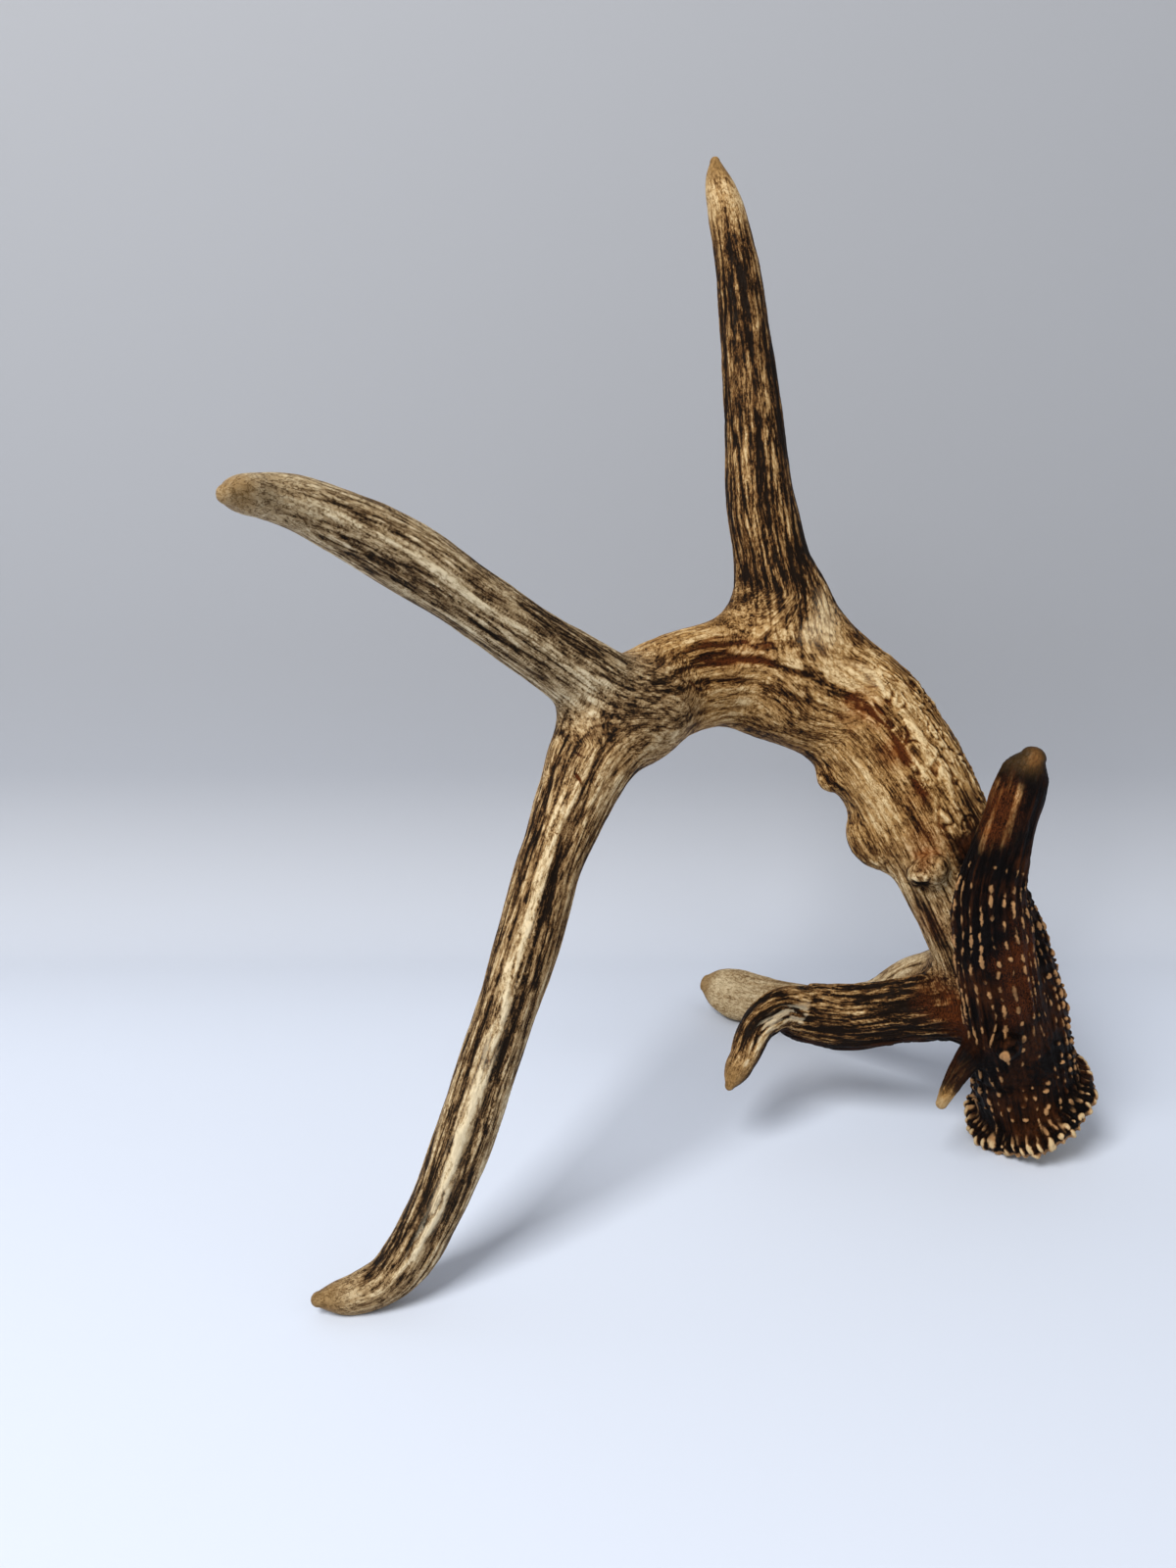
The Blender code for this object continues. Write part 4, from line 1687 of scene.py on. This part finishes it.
class Value:
    """A number in a shader. Arithmetic on it adds Math nodes."""

    def __init__(self, graph: "Graph", socket: bpy.types.NodeSocket) -> None:
        """Wrap a socket of a graph."""
        self.graph = graph
        self.socket = socket

    def __add__(self, other: Any) -> "Value":
        """The sum."""
        return self.graph.maths("ADD", self, other)

    def __sub__(self, other: Any) -> "Value":
        """The difference."""
        return self.graph.maths("SUBTRACT", self, other)

    def __rsub__(self, other: Any) -> "Value":
        """The difference from a plain number."""
        return self.graph.maths("SUBTRACT", other, self)

    def __mul__(self, other: Any) -> "Value":
        """The product."""
        return self.graph.maths("MULTIPLY", self, other)

    __radd__ = __add__
    __rmul__ = __mul__


class Graph:
    """The node tree of one material."""

    def __init__(self, material: bpy.types.Material) -> None:
        """Start with an empty tree."""
        material.use_nodes = True
        self.tree = material.node_tree
        self.tree.nodes.clear()

    def node(self, kind: str, settings: dict, inputs: dict) -> bpy.types.Node:
        """Add a node.

        Args:
            kind: The node's type, without the ShaderNode in front.
            settings: Its own settings, set first. stops gives a ramp's places and colours.
            inputs: Values or links for its sockets, by name or number.

        Returns:
            The node.
        """
        made = self.tree.nodes.new("ShaderNode" + kind)
        for key, value in settings.items():
            if key == "stops":
                self.set_stops(made.color_ramp, value)
            else:
                setattr(made, key, value)
        for key, value in inputs.items():
            source = value.socket if isinstance(value, Value) else value
            if isinstance(source, bpy.types.NodeSocket):
                self.tree.links.new(source, made.inputs[key])
            else:
                made.inputs[key].default_value = source
        return made

    @staticmethod
    def set_stops(ramp: bpy.types.ColorRamp, stops: tuple) -> None:
        """Give a ramp its places and colours."""
        while len(ramp.elements) < len(stops):
            ramp.elements.new(0.5)
        for element, (place, colour) in zip(ramp.elements, stops):
            element.position = place
            element.color = colour

    def maths(self, operation: str, *values: Any) -> Value:
        """A Math node's result."""
        made = self.node("Math", {"operation": operation}, dict(enumerate(values)))
        return Value(self, made.outputs[0])

    def step(self, low: float, high: float, value: Value) -> Value:
        """An S-curve between two values, held beyond them.

        Args:
            low: The value that gives 0.
            high: The value that gives 1. It may be below low, which turns the curve round.
            value: The value to map.

        Returns:
            The mapped value.
        """
        backwards = low > high
        ends = {1: min(low, high), 2: max(low, high)}
        made = self.node("MapRange", {"interpolation_type": "SMOOTHSTEP"}, {0: value, **ends})
        risen = Value(self, made.outputs[0])
        return 1.0 - risen if backwards else risen

    def scaled(self, vector: bpy.types.NodeSocket, scale: tuple) -> bpy.types.NodeSocket:
        """A vector times a vector."""
        return self.node("VectorMath", {"operation": "MULTIPLY"}, {0: vector, 1: scale}).outputs[0]

    def noise(
        self, vector: bpy.types.NodeSocket, scale: tuple, detail: float, roughness: float = 0.5
    ) -> Value:
        """Noise from 0 to 1 on a stretched vector.

        Args:
            vector: The vector.
            scale: The number of features to a unit along each of its axes.
            detail: The number of finer layers.
            roughness: The strength of each finer layer against the one before.

        Returns:
            The noise.
        """
        stretched = self.scaled(vector, scale)
        inputs = {"Vector": stretched, "Scale": 1.0, "Detail": detail, "Roughness": roughness}
        return Value(self, self.node("TexNoise", {"noise_dimensions": "3D"}, inputs).outputs[0])

    def mixed(self, share: Any, first: Any, second: Any, blend: str = "MIX") -> bpy.types.NodeSocket:
        """The first colour going over to the second as the share grows.

        Args:
            share: How far it has gone over, from 0 to 1.
            first: The first colour.
            second: The second.
            blend: How the second is laid over the first.

        Returns:
            The colour's socket.
        """
        settings = {"data_type": "RGBA", "blend_type": blend, "clamp_factor": True}
        made = self.node("Mix", settings, {0: share, 6: first, 7: second})
        return made.outputs[2]

    def marks(self, name: str) -> list[Value]:
        """The three numbers of a stored vector."""
        stored = self.node("Attribute", {"attribute_name": name}, {}).outputs["Vector"]
        return [Value(self, socket) for socket in self.node("SeparateXYZ", {}, {0: stored}).outputs]


@dataclass(frozen=True)
class BoneFinish:
    """Antler bone: pale bone under a brown coat that is worn off the ridges.

    Attributes:
        warm: Tones from dark grain to bare bone where the coat is warm.
        cool: The same where it is greyer.
        black_brown: The heavy coat of the base.
        red_brown: The same coat where it is thin.
        rust: Stains in the creases.
        rust_tint: What a thin stain multiplies the bone's colour by.
        pearl: Worn beads on the dark coat.
        tip: The polished ends.
        roughness: The coat's roughness.
        bare_roughness: The roughness of rubbed bone.
        shine: How strongly the surface mirrors.
        fine_relief: The height of the grain that is too fine to model, in metres.
        tone_stops: The tones at which the four colours of warm and cool stand.
        bands: The number of broad bands to a mm across, deep and along the grain.
        streaks: The same for streaks.
        dashes: The same for short dashes.
        specks: The same for specks.
        cracks: The same for fine cracks.
        mottle: The number of blotches to a metre.
        flecks: The number of fine flecks to a metre.
        grit: The number of grains of the finest relief to a metre.
    """

    warm: tuple = (linear(22, 12, 5), linear(100, 63, 27), linear(170, 131, 78), linear(222, 195, 148))
    cool: tuple = (linear(28, 20, 12), linear(96, 75, 50), linear(160, 141, 109), linear(212, 198, 168))
    black_brown: tuple = linear(8, 4, 3)
    red_brown: tuple = linear(74, 38, 14)
    rust: tuple = linear(104, 52, 20)
    rust_tint: tuple = (0.62, 0.34, 0.17, 1.0)
    pearl: tuple = linear(184, 138, 92)
    tip: tuple = linear(136, 104, 60)
    roughness: float = 0.55
    bare_roughness: float = 0.38
    shine: float = 0.06
    fine_relief: float = 0.00035
    tone_stops: tuple = (0.0, 0.30, 0.65, 1.0)
    bands: tuple = (0.14, 0.14, 0.011)
    streaks: tuple = (1.15, 1.15, 0.075)
    dashes: tuple = (1.90, 1.90, 0.26)
    specks: tuple = (3.2, 3.2, 1.3)
    cracks: tuple = (0.55, 0.55, 0.20)
    mottle: tuple = (48.0, 48.0, 48.0)
    flecks: tuple = (400.0, 400.0, 400.0)
    grit: tuple = (900.0, 900.0, 900.0)

    def material(self, name: str) -> bpy.types.Material:
        """Make the material.

        Args:
            name: The material's name.

        Returns:
            The material.
        """
        material = bpy.data.materials.new(name)
        graph = Graph(material)
        marks = {}
        for stored, packed in PACKED.items():
            marks.update(zip(packed, graph.marks(stored)))
        figure = self.figure(graph)
        density = marks[Mark.DENSE] * 0.34 + figure["bands"] * 0.55 + figure["mottle"] * 0.40
        density = density + marks[Mark.GROOVE] * 0.12 - marks[Mark.BARE] * 0.15 - 0.66
        dashed = graph.step(0.52, 0.66, figure["dashes"] + density * 0.60)
        cracked = graph.step(0.030, 0.004, figure["cracks"])

        colour = self.bone(graph, marks, figure, density, dashed, cracked)
        colour = self.coated(graph, marks, figure, colour)
        bared = graph.step(0.2, 0.8, marks[Mark.BARE] + marks[Mark.POLISH])
        rough = self.roughness + (figure["streaks"] - 0.5) * 0.22 - marks[Mark.STAIN] * 0.08
        rough = rough - bared * (self.roughness - self.bare_roughness)
        height = figure["streaks"] * 0.45 + figure["specks"] * 0.55 - dashed * 0.30
        height = height - cracked * 0.35 + figure["grit"] * 0.20
        relief = {"Strength": 0.9, "Distance": self.fine_relief, "Height": height}
        bump = graph.node("Bump", {}, relief).outputs[0]
        surface = {"Base Color": colour, "Roughness": rough, "Normal": bump}
        surface["Specular IOR Level"] = self.shine
        shader = graph.node("BsdfPrincipled", {}, surface)
        graph.node("OutputMaterial", {}, {"Surface": shader.outputs[0]})
        return material

    def figure(self, graph: Graph) -> dict[str, Value]:
        """The noises of the bone: some drawn out along the grain, some in plain space.

        Args:
            graph: The material's nodes.

        Returns:
            The noises by name, from 0 to 1. The cracks are 0 along their middles.
        """
        grain = graph.node("Attribute", {"attribute_name": "grain"}, {}).outputs["Vector"]
        place = graph.node("TexCoord", {}, {}).outputs["Object"]
        cracks = graph.noise(grain, self.cracks, 5.0, 0.62) - 0.5
        return {
            "bands": graph.noise(grain, self.bands, 2.0),
            "streaks": graph.noise(grain, self.streaks, 4.0, 0.6),
            "dashes": graph.noise(grain, self.dashes, 3.0, 0.65),
            "specks": graph.noise(grain, self.specks, 3.0, 0.65),
            "mottle": graph.noise(place, self.mottle, 4.0, 0.6),
            "flecks": graph.noise(place, self.flecks, 4.0, 0.75),
            "grit": graph.noise(place, self.grit, 2.0),
            "cracks": graph.maths("ABSOLUTE", cracks),
        }

    def bone(
        self, graph: Graph, marks: dict, figure: dict, density: Value, dashed: Value, cracked: Value
    ) -> bpy.types.NodeSocket:
        """The colour of the bone, read from its tone.

        The tone runs from dark grain to bare bone. Streaks, dashes, specks, flecks, cracks
        and grooves lower it; rubbing raises it. The relief raises it on ridges, as worn bone,
        and lowers it in hollows as painted shade.

        Args:
            graph: The material's nodes.
            marks: The marks on the mesh.
            figure: The noises.
            density: How densely the dark grain lies.
            dashed: The dashes' share.
            cracked: The cracks' share.

        Returns:
            The colour's socket.
        """
        dense, groove = marks[Mark.DENSE], marks[Mark.GROOVE]
        streaked = graph.step(0.50, 0.64, figure["streaks"] + density * 0.60)
        specked = graph.step(0.50, 0.68, figure["specks"] + density * 0.40)
        tone = 1.34 - figure["mottle"] * 0.54 - figure["bands"] * 0.34
        # Ridges lighter, as worn bone; hollows darker, as painted shade.
        tone = tone + (marks[Mark.RELIEF] - 0.5) * 1.40 - (figure["flecks"] - 0.49) * 0.75
        tone = tone - streaked * 0.28 - dashed * 0.27 - specked * 0.16
        tone = tone - cracked * (0.34 - dense * 0.16) - groove * 0.42 - marks[Mark.STAIN] * 0.55
        tone = tone - dense * 0.10 + marks[Mark.BARE] * 0.20 - marks[Mark.POLISH] * 0.12
        ramps = [
            graph.node("ValToRGB", {"stops": tuple(zip(self.tone_stops, colours))}, {0: tone}).outputs[0]
            for colours in (self.cool, self.warm)
        ]
        return graph.mixed(marks[Mark.WARM], *ramps)

    def coated(
        self, graph: Graph, marks: dict, figure: dict, colour: bpy.types.NodeSocket
    ) -> bpy.types.NodeSocket:
        """The heavy coat, rust, rubbed bone, pearls and polished ends, laid over the bone.

        Args:
            graph: The material's nodes.
            marks: The marks on the mesh.
            figure: The noises.
            colour: The bone's colour.

        Returns:
            The colour's socket.
        """
        streaks, specks, mottle = (figure[name] for name in ("streaks", "specks", "mottle"))
        stain, rust, bare = (marks[mark] for mark in PACKED["coat"])
        relief = marks[Mark.RELIEF]
        ruddy = graph.step(0.42, 0.72, mottle * 0.75 + streaks * 0.40 + relief * 0.20 - 0.17)
        heavy = graph.mixed(ruddy * 0.75, self.black_brown, self.red_brown)
        colour = graph.mixed(graph.step(0.42, 0.78, stain + (mottle - 0.5) * 0.3), colour, heavy)
        patchy = rust * (0.20 + streaks * 0.45 + mottle * 0.65 + figure["flecks"] * 0.45)
        colour = graph.mixed(graph.step(0.02, 0.75, patchy), colour, self.rust_tint, "MULTIPLY")
        flecked = graph.step(0.50, 0.62, specks + patchy * 0.22 - relief * 0.10)
        colour = graph.mixed(flecked * graph.step(0.1, 0.6, rust) * 0.65, colour, self.rust)
        rubbed = graph.step(0.35, 0.95, bare + (specks - 0.5) * 0.4)
        colour = graph.mixed(rubbed * 0.55, colour, self.cool[3])
        bead = graph.mixed(graph.step(0.2, 0.6, bare), self.pearl, self.warm[3])
        colour = graph.mixed(graph.step(0.10, 0.80, marks[Mark.PEARL]) * 0.92, colour, bead)
        return graph.mixed(marks[Mark.POLISH] * (1.0 - stain) * 0.70, colour, self.tip)


# ---------------------------------------------------------------- the studio


@dataclass(frozen=True)
class Light:
    """A soft square light.

    Attributes:
        name: Its name.
        place: Where it stands, in metres.
        target: What it shines at.
        size: Its side.
        power: Its power in watts.
        colour: Its colour.
    """

    name: str
    place: tuple
    target: tuple
    size: float
    power: float
    colour: tuple

    def hang(self) -> None:
        """Put the light where it stands, turned to its target."""
        data = bpy.data.lights.new(self.name, "AREA")
        data.size = self.size
        data.energy = self.power
        data.color = self.colour
        lamp = bpy.data.objects.new(self.name, data)
        lamp.location = self.place
        aim = Vector(self.target) - Vector(self.place)
        lamp.rotation_euler = aim.to_track_quat("-Z", "Y").to_euler()
        bpy.context.scene.collection.objects.link(lamp)


@dataclass(frozen=True)
class Studio:
    """A pale sweep of paper, soft lights and the camera.

    Attributes:
        floor_level: Height of the floor, just under the antler.
        bend_start: Where the floor starts to bend up, along y.
        bend_radius: The radius of the bend.
        half_width: Half the width of the sweep.
        front: Where the sweep ends in front.
        top: Where it ends above.
        paper: Its colour on the floor.
        wall: Its colour up the wall, darker than the paper's own: painted shade.
        fade: Where it goes over from one to the other, as the painted shade deepens: the sum of y and z.
        paper_roughness: Its roughness.
        camera_place: Where the camera is.
        camera_pitch: How far it looks down from level, in degrees.
        lens: Its focal length in mm.
        sensor: The width of its sensor in mm.
        nearest: How near it still sees.
        lights: The lights.
        sky: The colour of the light from all round.
        sky_strength: Its strength.
    """

    floor_level: float = -0.0003
    bend_start: float = 0.19
    bend_radius: float = 0.10
    half_width: float = 2.4
    front: float = -2.2
    top: float = 2.4
    paper: tuple = linear(212, 220, 235)
    # Painted shade: the paper darkened where it rises into the wall.
    wall: tuple = linear(160, 162, 167)
    fade: tuple = (0.04, 0.49)
    paper_roughness: float = 0.8
    camera_place: tuple = (-0.05721, -0.5143, 0.305)
    camera_pitch: float = 15.0
    lens: float = 28.0
    sensor: float = 36.0
    nearest: float = 0.01
    lights: tuple = (
        Light("key", (-0.8, -1.1, 1.6), (0.0, 0.0, 0.15), 0.8, 41.0, (1.0, 0.99, 0.97)),
        Light("fill", (1.3, -0.9, 0.9), (0.0, 0.0, 0.2), 1.4, 3.0, (0.95, 0.97, 1.0)),
    )
    sky: tuple = (1.0, 0.98, 0.95)
    sky_strength: float = 0.36

    def build(self) -> None:
        """Make the sweep, the lights, the sky and the camera."""
        self.sweep()
        for light in self.lights:
            light.hang()
        self.light_sky()
        self.place_camera()

    def light_sky(self) -> None:
        """Light the scene evenly from all round."""
        world = bpy.data.worlds.new("sky")
        world.use_nodes = True
        sky = world.node_tree.nodes["Background"]
        sky.inputs["Color"].default_value = (*self.sky, 1.0)
        sky.inputs["Strength"].default_value = self.sky_strength
        bpy.context.scene.world = world
        bpy.context.scene.view_settings.view_transform = "Standard"

    def place_camera(self) -> None:
        """Put the camera in its place, looking along y and down."""
        data = bpy.data.cameras.new("camera")
        data.lens = self.lens
        data.sensor_width = self.sensor
        data.clip_start = self.nearest
        camera = bpy.data.objects.new("camera", data)
        camera.location = self.camera_place
        camera.rotation_euler = (math.radians(90.0 - self.camera_pitch), 0.0, 0.0)
        bpy.context.scene.collection.objects.link(camera)
        bpy.context.scene.camera = camera

    def paper_material(self) -> bpy.types.Material:
        """The paper's finish: its own colour, going over to a darker one up the wall as painted shade, seen
        from its front only.

        Returns:
            The material.
        """
        material = bpy.data.materials.new("paper")
        graph = Graph(material)
        place = graph.node("TexCoord", {}, {}).outputs["Object"]
        axes = graph.node("SeparateXYZ", {}, {0: place}).outputs
        reach = Value(graph, axes[1]) + Value(graph, axes[2])
        # Painted shade: the paper's colour goes over to the darker wall colour towards the back and up.
        colour = graph.mixed(graph.step(*self.fade, reach), self.paper, self.wall)
        front = 1.0 - Value(graph, graph.node("NewGeometry", {}, {}).outputs["Backfacing"])
        surface = {"Base Color": colour, "Roughness": self.paper_roughness, "Alpha": front}
        shader = graph.node("BsdfPrincipled", {}, surface)
        graph.node("OutputMaterial", {}, {"Surface": shader.outputs[0]})
        return material

    def sweep(self) -> bpy.types.Object:
        """The paper: a profile of floor, quarter circle and wall, drawn out sideways.

        Returns:
            The paper's object.
        """
        turn = np.linspace(0.0, np.pi / 2, 24)
        along = self.bend_start + self.bend_radius * np.sin(turn)
        up = self.floor_level + self.bend_radius * (1.0 - np.cos(turn))
        along = np.concatenate(([self.front], along, along[-1:]))
        up = np.concatenate(([self.floor_level], up, [self.top]))
        count = len(along)
        left = np.column_stack((np.full(count, -self.half_width), along, up))
        right = left * (-1.0, 1.0, 1.0)
        step = np.arange(count - 1)
        faces = np.column_stack((step, count + step, count + step + 1, step + 1))
        mesh = filled_mesh("floor", np.vstack((left, right)), faces)
        mesh.materials.append(self.paper_material())
        floor = bpy.data.objects.new("floor", mesh)
        bpy.context.scene.collection.objects.link(floor)
        return floor


# ---------------------------------------------------------------- the whole


def build_antler(finish: BoneFinish) -> None:
    """Grow the skin, cut it, and make one object for each piece.

    Args:
        finish: The finish of every piece.
    """
    spacing = SPACING
    branches = grown_branches()
    skin = melted_skin(branches, Burr(), spacing)
    LOG.info("skin: %d points", len(skin.points))
    surface = Surface(skin)
    surface.lay()
    LOG.info("relief: %.2f to %.2f mm", surface.height.min(), surface.height.max())
    lot = Lot.of_mesh(cut_skin(surface, spacing))
    taken = set()
    for part in PARTS:
        centre = branches[part.branch].frames(np.array([part.share]))[0][0]
        island = lot.island_at(centre)
        assert island not in taken, "one piece is found twice: " + part.name
        taken.add(island)
        mesh = lot.piece_mesh(part.name + "_skin", island)
        mesh.materials.append(finish.material(part.name + "_bone"))
        piece = bpy.data.objects.new(part.name + "_skin", mesh)
        bpy.context.scene.collection.objects.link(piece)
        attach(piece, "root")
        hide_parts(part.name)
        LOG.info("%s: %d triangles", piece.name, len(mesh.polygons))
    assert len(np.unique(lot.labels)) == len(PARTS), "the cuts leave another number of pieces"


def main() -> None:
    """Build the antler and the studio."""
    logging.basicConfig(level=logging.INFO, format="%(name)s %(message)s")
    build_antler(BoneFinish())
    Studio().build()


if __name__ == "__main__":
    main()
